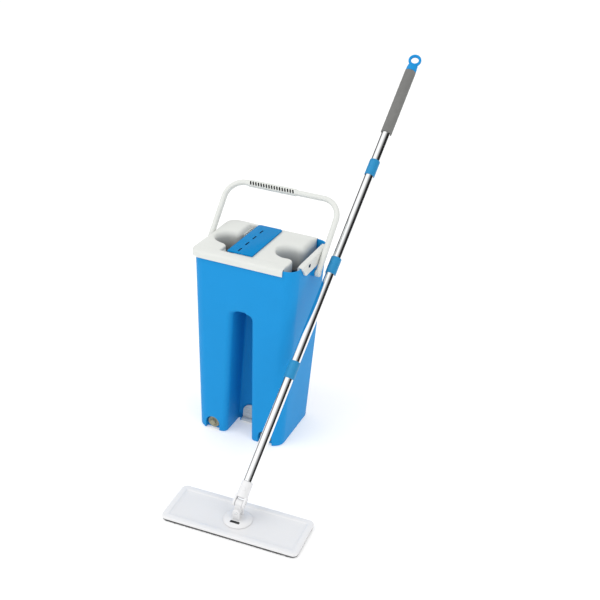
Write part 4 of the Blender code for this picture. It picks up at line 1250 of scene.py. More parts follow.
class MOPSET_OT_rim_strip(bpy.types.Operator):
    """Build the white strip clipped over the bucket's right-hand rim"""

    bl_idname = "mopset.rim_strip"
    bl_label = "Rim strip"

    def execute(self, context):
        low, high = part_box("rim_strip")
        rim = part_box("bucket_body")[1].z
        wall_out = 106.8 * MM
        wall_in = 102.4 * MM
        section = [
            (high.x, 0.0),
            (high.x, 1.0),
            (low.x, 1.0),
            (low.x, 0.55),
            (wall_in, 0.55),
            (wall_in, -1.0),
            (wall_out, -1.0),
            (wall_out, 0.0),
        ]
        radii = [0.6 * MM, 3.0 * MM, 2.2 * MM, 0.5 * MM, 0.0, 0.0, 0.0, 0.4 * MM]
        rings = []
        count = 26
        for k in range(count + 1):
            y = low.y + (high.y - low.y) * k / count
            nose = 1 - smooth_step(y, low.y - 1 * MM, low.y + 15 * MM)
            tail = 1 - smooth_step(-y, -high.y - 1 * MM, -high.y + 8 * MM)
            top = high.z - 1.5 * MM * nose - 0.6 * MM * tail
            skirt = low.z + 16.0 * MM * nose + 3 * MM * tail
            heights = {0.0: skirt, 1.0: top, 0.55: (low.z + 12 * MM), -1.0: rim + 0.3 * MM}
            path = [(x, heights[level]) for x, level in section]
            rings.append([(x, y, z) for x, z in soften(path, radii, 5, True)])
        shape = bmesh.new()
        add_loft(shape, rings)
        strip = show("rim_band", mesh_from(shape, "rim_band", 45), "white")
        grow(
            strip,
            slot_row_tree,
            Count=1,
            Start=(wall_out + 0.6 * MM, -32.0 * MM, 390.0 * MM),
            Step=(0.0, 0.0, 0.0),
            Turn=(math.pi / 2, 0.0, math.pi / 2),
            Long=10.0 * MM,
            Wide=7.0 * MM,
            Deep=12.0 * MM,
            # The slot's walls are painted deep blue as shade.
            Finish=finish("painted_slot_shade"),
        )
        settle(strip, "bucket", "white_plastic", "rim_strip")
        return {"FINISHED"}


# ---------------------------------------------------------------- bail
BAIL_LEAN = 41.7
BAIL_ARM_X = 117.2 * MM
BAIL_TOP_HALF = 119.1 * MM
BAIL_TALL = 147.0 * MM
BAIL_BEND = 37.0 * MM
BAIL_R = 5.4 * MM
PIVOT_END_R = 7.0 * MM
PIVOT_PIN_R = 4.0 * MM
PIVOT_OUT, PIVOT_BACK, PIVOT_TIP = 122.0 * MM, 112.4 * MM, 104.3 * MM
GRIP_SLOTS = 17
GRIP_LONG = 104 * MM
GRIP_MIDDLE = -26 * MM
SLOT_LEAN = -24


class MOPSET_OT_bail(bpy.types.Operator):
    """Build the swinging bail with its thicker grip, the slots across it and its pivot pins"""

    bl_idname = "mopset.bail"
    bl_label = "Bail"

    def execute(self, context):
        lean = math.radians(BAIL_LEAN)
        through = Vector((0, math.cos(lean), -math.sin(lean)))
        along_arm = Vector((0, math.sin(lean), math.cos(lean)))
        plane = frame_of(BAIL_PIVOT, Vector((1, 0, 0)), through, along_arm)
        arm_x, top_half, tall, bend = BAIL_ARM_X, BAIL_TOP_HALF, BAIL_TALL, BAIL_BEND
        path = soften([(arm_x, 0), (top_half, tall), (-top_half, tall), (-arm_x, 0)], [0, bend, bend, 0], 16)
        stations = self.even(path, 3.0 * MM)
        total = sum((Vector(b) - Vector(a)).length for a, b in zip(stations, stations[1:]))
        rings, run = [], 0.0
        for i, spot in enumerate(stations):
            here = Vector(spot)
            back = Vector(stations[max(i - 1, 0)])
            on = Vector(stations[min(i + 1, len(stations) - 1)])
            if i:
                run += (here - back).length
            along = (on - back).normalized()
            across = Vector((-along.y, along.x))
            wide, deep = self.section(here, min(run, total - run))
            ring = []
            for k in range(28):
                angle = 2 * math.pi * k / 28
                c, s = math.cos(angle), math.sin(angle)
                a = wide * math.copysign(abs(c) ** 0.8, c)
                b = deep * math.copysign(abs(s) ** 0.8, s)
                ring.append(plane @ Vector((here.x + across.x * a, b, here.y + across.y * a)))
            rings.append(ring)
        shape = bmesh.new()
        add_loft(shape, rings)
        bail = show("bail_bow", mesh_from(shape, "bail_bow", 60), "white")
        count, grip, middle = GRIP_SLOTS, GRIP_LONG, GRIP_MIDDLE
        step = (grip - 8 * MM) / count
        start = plane @ Vector((middle - step * (count - 1) / 2, -12 * MM, tall - 1.2 * MM))
        tip = Matrix.Rotation(-lean - math.pi / 2, 3, "X")
        turn = (tip @ Matrix.Rotation(math.radians(SLOT_LEAN), 3, "Z")).to_euler()
        grow(
            bail,
            slot_row_tree,
            Count=count,
            Start=tuple(start),
            Step=(step, 0.0, 0.0),
            Turn=tuple(turn),
            Long=3.0 * MM,
            Wide=7.8 * MM,
            Deep=10.5 * MM,
            # The slot walls are painted charcoal as shade.
            Finish=finish("slot_shade_and_tape_grey"),
        )
        ends = bmesh.new()
        for side in (-1, 1):
            self.pivot_end(ends, Matrix.Translation(BAIL_PIVOT) @ turn_to((side, 0, 0)))
        eyes = show("bail_pivot_ends", mesh_from(ends, "bail_pivot_ends"), "white")
        settle(bail, "bail", "white_plastic", "bail_handle")
        settle(eyes, "bail", "white_plastic")
        return {"FINISHED"}

    def even(self, path, step):
        """The path with a point about every step."""
        dense = []
        for a, b in zip(path, path[1:]):
            parts = max(1, round((Vector(b) - Vector(a)).length / step))
            dense += [tuple(Vector(a).lerp(Vector(b), k / parts)) for k in range(parts)]
        return dense + [path[-1]]

    def section(self, spot, from_end):
        """Half sizes of the bow in its plane and across it: slim arms, flat ends and a fuller grip."""
        wide = deep = BAIL_R
        flat = 1 - smooth_step(from_end, 6 * MM, 30 * MM)
        wide -= 0.6 * MM * flat
        deep += 1.5 * MM * flat
        if spot.y > 140 * MM:
            full = smooth_step(spot.x, -80 * MM, -75 * MM) * smooth_step(-spot.x, -28 * MM, -23 * MM)
            wide += 1.6 * MM * full
            deep += 1.6 * MM * full
        return wide, deep

    def pivot_end(self, shape, place):
        """A round end with its pin, turned on the pivot's axis."""
        disc = [(0, PIVOT_OUT), (PIVOT_END_R, PIVOT_OUT), (PIVOT_END_R, PIVOT_BACK),
                (PIVOT_PIN_R, PIVOT_BACK)]
        disc = soften(disc, 1.4 * MM, 5)
        add_turned(shape, disc + [(PIVOT_PIN_R, PIVOT_TIP), (0, PIVOT_TIP)], place, 40)


# ---------------------------------------------------------------- plugs and pedal
class MOPSET_OT_plugs(bpy.types.Operator):
    """Build the two drain plugs with their sealing rings"""

    bl_idname = "mopset.plugs"
    bl_label = "Drain plugs"

    def execute(self, context):
        size = context.scene.mop_set_bucket
        for side, name in ((-1, "dry"), (1, "wash")):
            place = Matrix.Translation((side * size.plug_x, 0, size.plug_z)) @ turn_to((0, -1, 0))
            stem, tip, rim, _ = span(f"drain_plug_{name}", place)
            flange_low = span(f"plug_seal_{name}", place)[1] + 0.3 * MM
            flange = flange_low + 3.0 * MM
            knob = [(0, tip - 0.6 * MM), (2.2 * MM, tip - 0.4 * MM), (3.2 * MM, tip), (4.6 * MM, tip)]
            knob += [(5.2 * MM, tip - 0.7 * MM), (5.4 * MM, flange - 0.9 * MM), (7.6 * MM, flange - 1.0 * MM)]
            knob += [(8.3 * MM, flange - 0.1 * MM), (rim - 1.0 * MM, flange), (rim, flange - 1.0 * MM)]
            knob += [(rim, flange_low + 0.4 * MM), (rim - 0.5 * MM, flange_low), (7.4 * MM, flange_low)]
            knob += [(7.2 * MM, stem + 1.0 * MM), (6.4 * MM, stem), (0, stem)]
            shape = bmesh.new()
            add_turned(shape, knob, place, 56)
            plug = show(f"plug_{name}", mesh_from(shape, "plug"), "beige")
            settle(plug, f"{name}_plug", "grey_plastic", f"drain_plug_{name}")
            low, high, outer, inner = span(f"plug_seal_{name}", place)
            ring = soften([(outer, high), (outer, low), (inner, low), (inner, high)], 0.5 * MM, 4, True)
            shape = bmesh.new()
            add_turned(shape, ring, place, 56, loop=True)
            seal = show(f"seal_{name}", mesh_from(shape, "seal"), "rubber")
            settle(seal, f"{name}_plug", "rubber", f"plug_seal_{name}")
        return {"FINISHED"}


class MOPSET_OT_pedal(bpy.types.Operator):
    """Build the fold-down foot pedal with its barrel and its tread ribs"""

    bl_idname = "mopset.pedal"
    bl_label = "Foot pedal"

    def execute(self, context):
        low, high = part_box("foot_pedal")
        hinge = Vector(JOINTS["pedal_fold"]["pos_m"])
        half = high.x
        thick = PEDAL_THICK
        rise = high.z - hinge.z
        outline = [(-half, 0.0), (half, 0.0)] + arc((0, rise - half), half, 0, 180, 28)
        place = frame_of((0, high.y - thick, hinge.z), Vector((-1, 0, 0)), UP, Vector((0, 1, 0)))
        shape = bmesh.new()
        add_slab(shape, outline, 0.0, thick, 0.9 * MM, place)
        outer, bore = PEDAL_BARREL_R, PEDAL_BORE_R
        barrel = soften([(outer, half), (outer, -half), (bore, -half), (bore, half)], 0.5 * MM, 3, True)
        add_turned(shape, barrel, Matrix.Translation(hinge) @ turn_to((1, 0, 0)), 40, loop=True)
        pedal = show("pedal_flap", mesh_from(shape, "pedal_flap"))
        grow(
            pedal,
            bar_row_tree,
            Count=4,
            Start=(0.0, high.y - thick + 0.6 * MM, hinge.z + 9 * MM),
            Step=(0.0, 0.0, 6.0 * MM),
            Turn=(math.pi / 2, 0.0, 0.0),
            Long=24 * MM,
            Wide=1.6 * MM,
            Deep=1.4 * MM,
            Finish=finish("white"),
        )
        dress(pedal, "white")
        settle(pedal, "pedal", "white_plastic", "foot_pedal")
        return {"FINISHED"}


# ---------------------------------------------------------------- mop head
PAD_INSET = 2.0 * MM
PAD_CORNER = 11 * MM
SWELL_LIMIT = 0.35 * MM
EAR_HALF = 6.5 * MM
EAR_INNER, EAR_OUTER = 7.1 * MM, 11.2 * MM
FORK_HALF = 8.0 * MM
FORK_INNER = 7.2 * MM


class MOPSET_OT_head(bpy.types.Operator):
    """Build the white head plate with its raised border and dished panel"""

    bl_idname = "mopset.head"
    bl_label = "Head plate"

    def execute(self, context):
        sizes = context.scene.mop_set_mop
        half_x, half_y, low, high = head_size("head_plate")
        border = sizes.border
        steps = [(1.0, 0.0), (0.2, 0.5), (0.0, 1.2), (0.0, 3.9), (0.25, 4.7), (0.8, 5.3), (1.6, 5.5)]
        plan = [(inset * MM, low + rise * MM) for inset, rise in steps]
        plan += [(border - 1.6 * MM, high), (border - 0.8 * MM, high - 0.12 * MM), (border, high - 0.5 * MM)]
        plan += [(border + 0.8 * MM, high - 1.15 * MM), (border + 2.2 * MM, high - 1.5 * MM)]
        plan += [(border + inset * MM, high - drop * MM) for inset, drop in ((12, 2.1), (24, 2.2), (36, 2.2))]
        rings = []
        for inset, height in plan:
            half = (half_x - inset, half_y - inset)
            radius = max(sizes.head_corner - inset, 3.0 * MM)
            radius = min(radius, 0.45 * half[1])
            rings.append([HEAD @ Vector((x, y, height)) for x, y in rounded_rectangle(half, radius, 10)])
        shape = bmesh.new()
        add_loft(shape, rings)
        plate = show("head_tray", mesh_from(shape, "head_tray", 40), "bright", "panel")
        back = HEAD.inverted()
        for face in plate.data.polygons:
            spot = back @ face.center
            within = abs(spot.x) < half_x - border - 0.5 * MM and abs(spot.y) < half_y - border - 0.5 * MM
            face.material_index = int(within and spot.z > high - 3 * MM)
        settle(plate, "head", "white_plastic", "head_plate")
        return {"FINISHED"}


def head_size(node):
    """Half length, half width, lowest and highest level of a piece of the head, in the head's frame."""
    back = HEAD.inverted()
    points = [back @ vert.co for vert in frame["nodes"][node].data.vertices]
    return (
        max(p.x for p in points),
        max(p.y for p in points),
        min(p.z for p in points),
        max(p.z for p in points),
    )


class MOPSET_OT_pad(bpy.types.Operator):
    """Build the microfibre pad under the head plate, swelled by a short cloth run, with an edge of tufts"""

    bl_idname = "mopset.pad"
    bl_label = "Mop pad"

    def execute(self, context):
        half_x, half_y, low, high = head_size("mop_pad")
        pad = show("fibre_pad", self.closed_grid(
            half_x - PAD_INSET, half_y - PAD_INSET, low + 0.1 * MM, high))
        self.swell(pad, low)
        fringe_shape = bmesh.new()
        rows = []
        outline = rounded_rectangle((half_x - 2.1 * MM, half_y - 2.1 * MM), 10 * MM, 10)
        for height in (low + 0.9 * MM, high - 0.5 * MM):
            rows.append([HEAD @ Vector((x, y, height)) for x, y in outline])
        add_loft(fringe_shape, rows, caps=(False, False))
        fringe = show("pad_fringe", mesh_from(fringe_shape, "pad_fringe"))
        sizes = context.scene.mop_set_mop
        values = {"Density": 1.3e6, "Long": sizes.tuft, "Thick": 0.42 * MM, "Seed": 7}
        grow(fringe, tuft_tree, Finish=finish("fibre"), **values)
        self.keep_above_floor(fringe)
        pad.data.materials.append(finish("fibre"))
        settle(pad, "head", "microfibre", "mop_pad")
        settle(fringe, "head", "microfibre")
        return {"FINISHED"}

    def closed_grid(self, half_x, half_y, low, high):
        """A closed pad of small quads, rounded in plan and along its edge."""
        rings = []
        depth = high - low
        edge = ((24, 0), (12, 0), (5, 0), (1.6, 0.0), (0.5, 0.15), (0.0, 0.5), (0.4, 0.85), (1.4, 1.0))
        for inset, share in edge:
            rings.append(self.ring(half_x, half_y, inset * MM, low + depth * share))
        for inset in (5, 12, 24):
            rings.append(self.ring(half_x, half_y, inset * MM, high))
        shape = bmesh.new()
        add_loft(shape, rings)
        bmesh.ops.triangulate(shape, faces=[face for face in shape.faces if len(face.verts) > 4])
        return mesh_from(shape, "fibre_pad", 60)

    def ring(self, half_x, half_y, inset, height):
        radius = max(PAD_CORNER - inset, 2 * MM)
        outline = rounded_rectangle((half_x - inset, half_y - inset), radius, 6)
        dense = []
        for a, b in zip(outline, outline[1:] + outline[:1]):
            gap = (Vector(b) - Vector(a)).length
            parts = 24 if gap > 150 * MM else (10 if gap > 40 * MM else 1)
            dense += [Vector(a).lerp(Vector(b), k / parts) for k in range(parts)]
        return [HEAD @ Vector((p.x, p.y, height)) for p in dense]

    def swell(self, pad, low):
        """A short pressure run that crowns the pad's edge, with no point moved more than 0.35 mm."""
        start = [vert.co.copy() for vert in pad.data.vertices]
        scene = bpy.context.scene
        cloth = pad.modifiers.new("pile", "CLOTH")
        cloth.settings.quality = 4
        cloth.settings.mass = 0.1
        cloth.settings.use_pressure = True
        cloth.settings.uniform_pressure_force = 1.5
        cloth.settings.effector_weights.gravity = 0.0
        cloth.point_cache.frame_start = 1
        cloth.point_cache.frame_end = 12
        for number in range(1, 13):
            scene.frame_set(number)
        applied(pad, 60)
        scene.frame_set(1)
        for vert, first in zip(pad.data.vertices, start):
            move = vert.co - first
            if move.length > SWELL_LIMIT:
                move *= SWELL_LIMIT / move.length
            vert.co = first + move
            vert.co.z = min(max(vert.co.z, low), low + 3.6 * MM)

    def keep_above_floor(self, fringe):
        low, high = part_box("mop_pad")
        for vert in fringe.data.vertices:
            vert.co.z = min(max(vert.co.z, low.z + 0.05 * MM), high.z)


class MOPSET_OT_joint(bpy.types.Operator):
    """Build the head's domed hub with its ears, the joint cross, its pins and the handle's fork"""

    bl_idname = "mopset.joint"
    bl_label = "Joint"

    def execute(self, context):
        self.hub()
        self.cross()
        self.neck()
        self.pins()
        return {"FINISHED"}

    def tab(self, shape, half, low, centre, ends, place, edge=0.7 * MM):
        """A round-topped tab, in a frame whose Z runs through its thickness."""
        outline = [(-half, low), (half, low)] + arc((0, centre), half, 0, 180, 20)
        add_slab(shape, outline, ends[0], ends[1], edge, place)

    def hub(self):
        half_x, _, low, _ = head_size("joint_base")
        radius = half_x
        dome = [(0, 14.4), (8, 14.3), (14, 13.9), (19, 13.0)]
        dome += [(22.5, 11.9), (24.6, 11.0), (25.9, 10.2), (26.5, 9.7)]
        profile = [(r * MM, h * MM) for r, h in dome] + [(radius, low), (0, low)]
        shape = bmesh.new()
        add_turned(shape, profile, HEAD, 96)
        hub = show("joint_hub", mesh_from(shape, "joint_hub", 50), "bright")
        slot = bmesh.new()
        outline = rounded_rectangle((9.0 * MM, 2.6 * MM), 1.6 * MM, 5)
        add_slab(slot, outline, 11.0 * MM, 20 * MM, 0.2 * MM, HEAD @ Matrix.Translation((0, -15.0 * MM, 0)))
        # The slot's cut walls take the charcoal finish, which is painted shade.
        cutter = show("hub_slot", mesh_from(slot, "hub_slot"), "slot_shade_and_tape_grey")
        carve(hub, "DIFFERENCE", cutter)
        ears = bmesh.new()
        pin = HEAD.inverted() @ Vector(JOINTS["head_roll"]["pos_m"])
        side_view = HEAD @ frame_of((0, 0, 0), Vector((1, 0, 0)), UP, Vector((0, -1, 0)))
        for ends in ((EAR_INNER, EAR_OUTER), (-EAR_OUTER, -EAR_INNER)):
            self.tab(ears, EAR_HALF, 12 * MM, pin.z, ends, side_view)
        pair = show("hub_ears", mesh_from(ears, "hub_ears"), "bright")
        settle(hub, "head", "white_plastic", "joint_base")
        settle(pair, "head", "white_plastic")

    def cross(self):
        rise = (Vector(JOINTS["head_tilt"]["pos_m"]) - Vector(JOINTS["head_roll"]["pos_m"])).length
        shape = bmesh.new()
        outline = rounded_rectangle((5.9 * MM, 5.8 * MM), 1.4 * MM, 5)
        add_slab(shape, outline, 0.0, rise, 0.6 * MM, CROSS)
        half, radius = 6.6 * MM, 6.5 * MM
        barrel = soften([(0, half), (radius, half), (radius, -half), (0, -half)], 0.9 * MM, 5)
        add_turned(shape, barrel, CROSS @ turn_to((0, 1, 0)), 48)
        add_turned(shape, barrel, CROSS @ Matrix.Translation((0, 0, rise)) @ turn_to((1, 0, 0)), 48)
        block = show("cross_block", mesh_from(shape, "cross_block"), "bright")
        settle(block, "cross", "white_plastic", "joint_cross")

    def neck(self):
        tube = span("tube_1", HANDLE)
        top = tube[0] - 0.3 * MM
        shape = bmesh.new()
        profile = [(0, top), (9.6 * MM, top), (10.2 * MM, top - 0.3 * MM), (10.4 * MM, top - 1.0 * MM)]
        profile += [(10.4 * MM, 19 * MM), (10.9 * MM, 15.5 * MM), (11.2 * MM, 12.5 * MM)]
        profile += soften([(11.2 * MM, 12.5 * MM), (10.6 * MM, 9.1 * MM), (0, 9.1 * MM)], 1.0 * MM)[1:]
        add_turned(shape, profile, HANDLE, 72)
        side_view = HANDLE @ frame_of((0, 0, 0), Vector((0, 1, 0)), Vector((0, 0, -1)), Vector((-1, 0, 0)))
        for ends in ((FORK_INNER, EAR_OUTER), (-EAR_OUTER, -FORK_INNER)):
            self.tab(shape, FORK_HALF, -12 * MM, 0.0, ends, side_view)
        button = HANDLE @ Matrix.Translation((0, 0, 24 * MM)) @ turn_to((0, -1, 0))
        cap = soften([(0, 11.4 * MM), (3.4 * MM, 11.2 * MM), (3.8 * MM, 8 * MM)], 0.5 * MM)
        add_turned(shape, cap + [(0, 8 * MM)], button, 32)
        neck = show("neck_fork", mesh_from(shape, "neck_fork"), "bright")
        settle(neck, "mop_pole", "white_plastic", "neck_socket")

    def pins(self):
        """Turned pins with slightly domed ends."""
        for node, body, place in (
            ("lower_pin", "cross", CROSS @ turn_to((0, 1, 0))),
            ("upper_pin", "mop_pole", HANDLE @ turn_to((1, 0, 0))),
        ):
            low, high, radius, _ = span(node, place)
            profile = soften([(0, high), (radius, high), (radius, low), (0, low)], 0.6 * MM, 4)
            shape = bmesh.new()
            add_turned(shape, profile, place, 36)
            pin = show(f"{node}_turned", mesh_from(shape, node), "steel")
            settle(pin, body, "steel", node)


# ---------------------------------------------------------------- handle
RING_R = 13.2 * MM
RING_HOLE_R = 7.8 * MM
RING_HALF_THICK = 3.6 * MM


class MOPSET_OT_handle(bpy.types.Operator):
    """Build the polished tubes, the blue connectors, the foam grip and the end cap"""

    bl_idname = "mopset.handle"
    bl_label = "Handle"

    def execute(self, context):
        for number in range(1, 5):
            self.tube(f"tube_{number}")
        for number in range(1, 4):
            self.connector(f"connector_{number}")
        self.grip()
        self.cap(context.scene.mop_set_mop)
        return {"FINISHED"}

    def turned_piece(self, name, profile, finish_name, slot, node, loop=True, sides=96, sharp=32):
        shape = bmesh.new()
        add_turned(shape, profile, HANDLE, sides, loop=loop)
        piece = show(name, mesh_from(shape, name, sharp), finish_name)
        return settle(piece, "mop_pole", slot, node)

    def tube(self, node):
        low, high, outer, inner = span(node, HANDLE)
        edge = 0.3 * MM
        profile = [(outer - edge, high), (outer, high - edge)]
        count = 6
        profile += [(outer, high - edge + (low - high + 2 * edge) * k / count) for k in range(1, count)]
        profile += [(outer, low + edge), (outer - edge, low), (inner, low), (inner, high)]
        self.turned_piece(f"{node}_drawn", profile, "steel", "steel", node)

    def connector(self, node):
        low, high, outer, inner = span(node, HANDLE)
        rise = high - low
        steps = [(-0.9, 0.0), (-0.2, 0.25), (0.0, 0.9), (0.0, 2.6), (-0.35, 2.9), (-0.35, 3.5), (0.0, 3.8)]
        profile = [(outer + r * MM, low + h * MM) for r, h in steps]
        middle = low + rise * 0.5
        profile += [(outer, middle - 0.5 * MM), (outer - 0.3 * MM, middle - 0.2 * MM)]
        profile += [(outer - 0.3 * MM, middle + 0.2 * MM), (outer, middle + 0.5 * MM)]
        profile += [(outer + r * MM, high - h * MM) for r, h in reversed(steps)]
        profile += [(inner, high), (inner, low)]
        self.turned_piece(f"{node}_sleeve", profile[::-1], "collar", "blue_plastic", node)

    def grip(self):
        low, high, outer, inner = span("foam_grip", HANDLE)
        profile = [(inner, low)]
        profile += soften([(inner, low), (outer, low), (outer, low + 20 * MM)], 2.2 * MM, 6)[1:]
        count = 24
        for k in range(1, count):
            h = low + 20 * MM + (high - low - 40 * MM) * k / count
            profile.append((outer - 0.12 * MM * math.sin(k * 1.7), h))
        profile += soften([(outer, high - 20 * MM), (outer, high), (inner, high)], 1.4 * MM, 6)
        self.turned_piece("grip_sleeve", profile, "foam", "foam", "foam_grip", sides=72)

    def cap(self, sizes):
        """The plug's collar, which narrows a little to a rounded ring."""
        foam_top = span("foam_grip", HANDLE)[1]
        top = span("end_cap", HANDLE)[1]
        ring_r = RING_R
        centre = top - ring_r
        low = foam_top + 0.3 * MM
        sections = [(low, 10.6, 10.6), (low + 0.5 * MM, 11.0, 11.0), (low + 8 * MM, 10.7, 9.6)]
        sections += [(low + 12 * MM, 10.3, 7.6), (low + 15 * MM, 10.2, 5.4), (low + 18 * MM, 9.0, 3.0)]
        rings = []
        for height, wide, deep in sections:
            ring = []
            for k in range(48):
                angle = 2 * math.pi * k / 48
                spot = (wide * MM * math.cos(angle), deep * MM * math.sin(angle), height)
                ring.append(HANDLE @ Vector(spot))
            rings.append(ring)
        collar = bmesh.new()
        add_loft(collar, rings)
        cap = show("cap_collar", mesh_from(collar, "cap_collar"))
        hole_r = RING_HOLE_R
        section = []
        for k in range(20):
            angle = 2 * math.pi * k / 20
            c, s = math.cos(angle), math.sin(angle)
            section.append(
                (
                    (ring_r + hole_r) / 2 + (ring_r - hole_r) / 2 * math.copysign(abs(c) ** 0.75, c),
                    RING_HALF_THICK * math.copysign(abs(s) ** 0.75, s),
                )
            )
        ring_place = HANDLE @ Matrix.Translation((0, 0, centre)) @ turn_to((0, 1, 0))
        opening = bmesh.new()
        mid_r = hole_r + 1.0 * MM
        add_turned(opening, [(0, 0.02), (mid_r, 0.02), (mid_r, -0.02), (0, -0.02)], ring_place, 48)
        carve(cap, "DIFFERENCE", show("cap_opening", mesh_from(opening, "cap_opening")))
        hoop = bmesh.new()
        add_turned(hoop, section, ring_place, 72, loop=True)
        ring = show("cap_hoop", mesh_from(hoop, "cap_hoop", 60))
        for piece in (cap, ring):
            piece.data.materials.clear()
            piece.data.materials.append(finish("blue"))
        settle(cap, "mop_pole", "blue_plastic", "end_cap")
        settle(ring, "mop_pole", "blue_plastic")


class MOPSET_OT_kept_nodes(bpy.types.Operator):
    """Give the pieces that keep their CAD shape their own finishes"""

    bl_idname = "mopset.kept_nodes"
    bl_label = "Kept pieces"

    def execute(self, context):
        kept = {
            "pedal_pin": "steel",
            "hook_strip_front": "tape",
            "hook_strip_back": "tape",
            "thread_insert_1": "bright",
            "thread_insert_2": "bright",
            "thread_insert_3": "bright",
        }
        for node, name in kept.items():
            mesh = frame["nodes"][node].data
            if not mesh.materials:
                mesh.materials.append(None)
            for i in range(len(mesh.materials)):
                mesh.materials[i] = finish(name)
        return {"FINISHED"}


# ---------------------------------------------------------------- stage
WHITE = (1, 1, 1, 1)
FLOOR_GLOW = 0.30
LAMP_TARGET = (0.05, -0.1, 0.2)
CAMERA_PLACE = (0.69217, -1.57872, 1.16298)
CAMERA_AHEAD = (-0.31987, 0.83091, -0.45526)
CAMERA_ROLL = 3.85
MIRRORED_BRIGHT = 1.1
MIRRORED_DARK = 0.02
# Each dark area: the way to its middle, and the cosines from that way at which it starts and is darkest.
DARK_AREAS = (((0.966, 0.224, 0.120), 0.0, 0.82), ((-0.932, 0.346, 0.096), 0.80, 0.97))


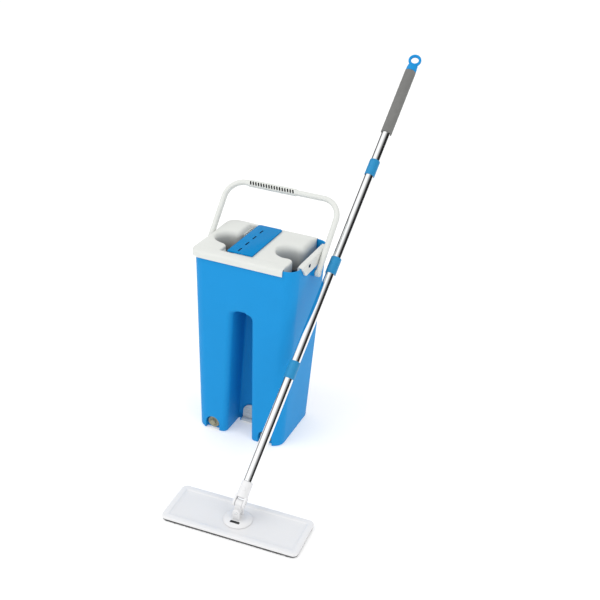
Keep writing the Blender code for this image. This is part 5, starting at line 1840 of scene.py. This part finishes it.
class MOPSET_OT_stage(bpy.types.Operator):
    """Set out the pale backlit floor, the soft studio light and the camera"""

    bl_idname = "mopset.stage"
    bl_label = "Studio"

    def execute(self, context):
        stage = context.scene.mop_set_stage
        self.floor(stage)
        self.sky(stage)
        self.soft_box("key_light", (-1.5, -1.6, 2.6), 2.6, stage.key_watts)
        self.soft_box("fill_light", (1.9, -1.2, 1.9), 1.4, stage.fill_watts)
        self.camera(stage)
        context.scene.view_settings.view_transform = "Standard"
        return {"FINISHED"}

    def floor(self, stage):
        shape = bmesh.new()
        bmesh.ops.create_grid(shape, x_segments=2, y_segments=2, size=6.0)
        floor = show("studio_floor", mesh_from(shape, "studio_floor", outward=False))
        made, tree, shader, place = new_material("backlit_opal_acrylic", Roughness=0.9, IOR=1.3)
        shader.inputs["Emission Color"].default_value = WHITE
        shader.inputs["Emission Strength"].default_value = FLOOR_GLOW
        cloud = add_node(tree, "ShaderNodeTexNoise", {"Vector": place, "Scale": 3.0, "Detail": 2.0})
        tint = add_node(
            tree,
            "ShaderNodeMix",
            {"Factor": cloud.outputs["Fac"], 6: rgba(stage.floor, 0.995), 7: rgba(stage.floor, 1.0)},
            data_type="RGBA",
        )
        shade(tree, shader, tint.outputs[2], None, None)
        floor.data.materials.append(made)

    def sky(self, stage):
        """Even white light. What mirrors see has two dark areas in it, which draw the tubes' edges."""
        world = bpy.data.worlds.new("studio_light")
        bpy.context.scene.world = world
        world.use_nodes = True
        tree = world.node_tree
        tree.nodes.clear()
        toward = add_node(tree, "ShaderNodeTexCoord").outputs["Generated"]
        shadow = None
        for aim, near, far in DARK_AREAS:
            way = Vector(aim).normalized()
            facing = add_node(tree, "ShaderNodeVectorMath", {0: toward, 1: way}, operation="DOT_PRODUCT")
            flag = add_node(
                tree,
                "ShaderNodeMapRange",
                {
                    "Value": facing.outputs["Value"],
                    "From Min": near,
                    "From Max": far,
                    "To Min": MIRRORED_BRIGHT,
                    "To Max": MIRRORED_DARK,
                },
            ).outputs[0]
            if shadow is None:
                shadow = flag
            else:
                product = add_node(tree, "ShaderNodeMath", {0: shadow, 1: flag}, operation="MULTIPLY")
                shadow = product.outputs[0]
        path = add_node(tree, "ShaderNodeLightPath")
        seen = add_node(
            tree,
            "ShaderNodeMix",
            {"Factor": path.outputs["Is Glossy Ray"], 2: 1.0, 3: shadow},
            data_type="FLOAT",
        )
        strength = add_node(tree, "ShaderNodeMath", {0: seen.outputs[0], 1: stage.sky}, operation="MULTIPLY")
        even = add_node(tree, "ShaderNodeBackground", {"Color": WHITE, "Strength": strength.outputs[0]})
        plain = add_node(tree, "ShaderNodeBackground", {"Color": WHITE, "Strength": 1.0})
        both = add_node(
            tree,
            "ShaderNodeMixShader",
            {0: path.outputs["Is Camera Ray"], 1: even.outputs[0], 2: plain.outputs[0]},
        )
        result = add_node(tree, "ShaderNodeOutputWorld")
        tree.links.new(both.outputs[0], result.inputs["Surface"])

    def soft_box(self, name, place, size, watts):
        light = bpy.data.lights.new(name, "AREA")
        light.shape = "DISK"
        light.size = size
        light.energy = watts
        lamp = bpy.data.objects.new(name, light)
        bpy.context.scene.collection.objects.link(lamp)
        lamp.location = place
        lamp.visible_glossy = False
        aim = Vector(LAMP_TARGET) - Vector(place)
        lamp.rotation_euler = aim.to_track_quat("-Z", "Y").to_euler()

    def camera(self, stage):
        data = bpy.data.cameras.new("studio_camera")
        data.lens = stage.lens
        data.sensor_width = 36.0
        data.sensor_fit = "HORIZONTAL"
        data.clip_end = 50.0
        camera = bpy.data.objects.new("studio_camera", data)
        bpy.context.scene.collection.objects.link(camera)
        ahead = Vector(CAMERA_AHEAD).normalized()
        level = ahead.cross(UP).normalized()
        above = level.cross(ahead)
        roll = math.radians(CAMERA_ROLL)
        right = level * math.cos(roll) + above * math.sin(roll)
        upward = above * math.cos(roll) - level * math.sin(roll)
        camera.matrix_world = frame_of(CAMERA_PLACE, right, upward, -ahead)
        bpy.context.scene.camera = camera


# ---------------------------------------------------------------- panel and registration
OPERATORS = (
    MOPSET_OT_stage,
    MOPSET_OT_bucket,
    MOPSET_OT_lid,
    MOPSET_OT_combs,
    MOPSET_OT_cover,
    MOPSET_OT_rim_strip,
    MOPSET_OT_bail,
    MOPSET_OT_plugs,
    MOPSET_OT_pedal,
    MOPSET_OT_head,
    MOPSET_OT_pad,
    MOPSET_OT_joint,
    MOPSET_OT_handle,
    MOPSET_OT_kept_nodes,
)


class MOPSET_PT_panel(bpy.types.Panel):
    """Sizes, colours and build steps of the mop and bucket"""

    bl_label = "Mop set"
    bl_space_type = "VIEW_3D"
    bl_region_type = "UI"
    bl_category = "Mop set"

    def draw(self, context):
        for title, group in GROUPS.items():
            box = self.layout.box()
            box.label(text=title)
            settings = getattr(context.scene, group[0])
            for key in group[1].__annotations__:
                box.prop(settings, key)
        for operator in OPERATORS:
            self.layout.operator(operator.bl_idname)


GROUPS = {
    "Bucket": ("mop_set_bucket", MopSetBucketSizes),
    "Lid": ("mop_set_lid", MopSetLidSizes),
    "Mop": ("mop_set_mop", MopSetMopSizes),
    "Finishes": ("mop_set_finishes", MopSetFinishes),
    "Studio": ("mop_set_stage", MopSetStage),
}


def register():
    for name, group in GROUPS.values():
        bpy.utils.register_class(group)
        setattr(bpy.types.Scene, name, bpy.props.PointerProperty(type=group))
    for operator in OPERATORS:
        bpy.utils.register_class(operator)
    bpy.utils.register_class(MOPSET_PT_panel)


def unregister():
    bpy.utils.unregister_class(MOPSET_PT_panel)
    for operator in reversed(OPERATORS):
        bpy.utils.unregister_class(operator)
    for name, group in GROUPS.values():
        delattr(bpy.types.Scene, name)
        bpy.utils.unregister_class(group)


def plain(bounds):
    return [[float(number) for number in corner] for corner in bounds]


def main():
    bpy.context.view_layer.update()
    register()
    for operator in OPERATORS:
        area, name = operator.bl_idname.split(".")
        getattr(getattr(bpy.ops, area), name)()


if __name__ == "__main__":
    main()
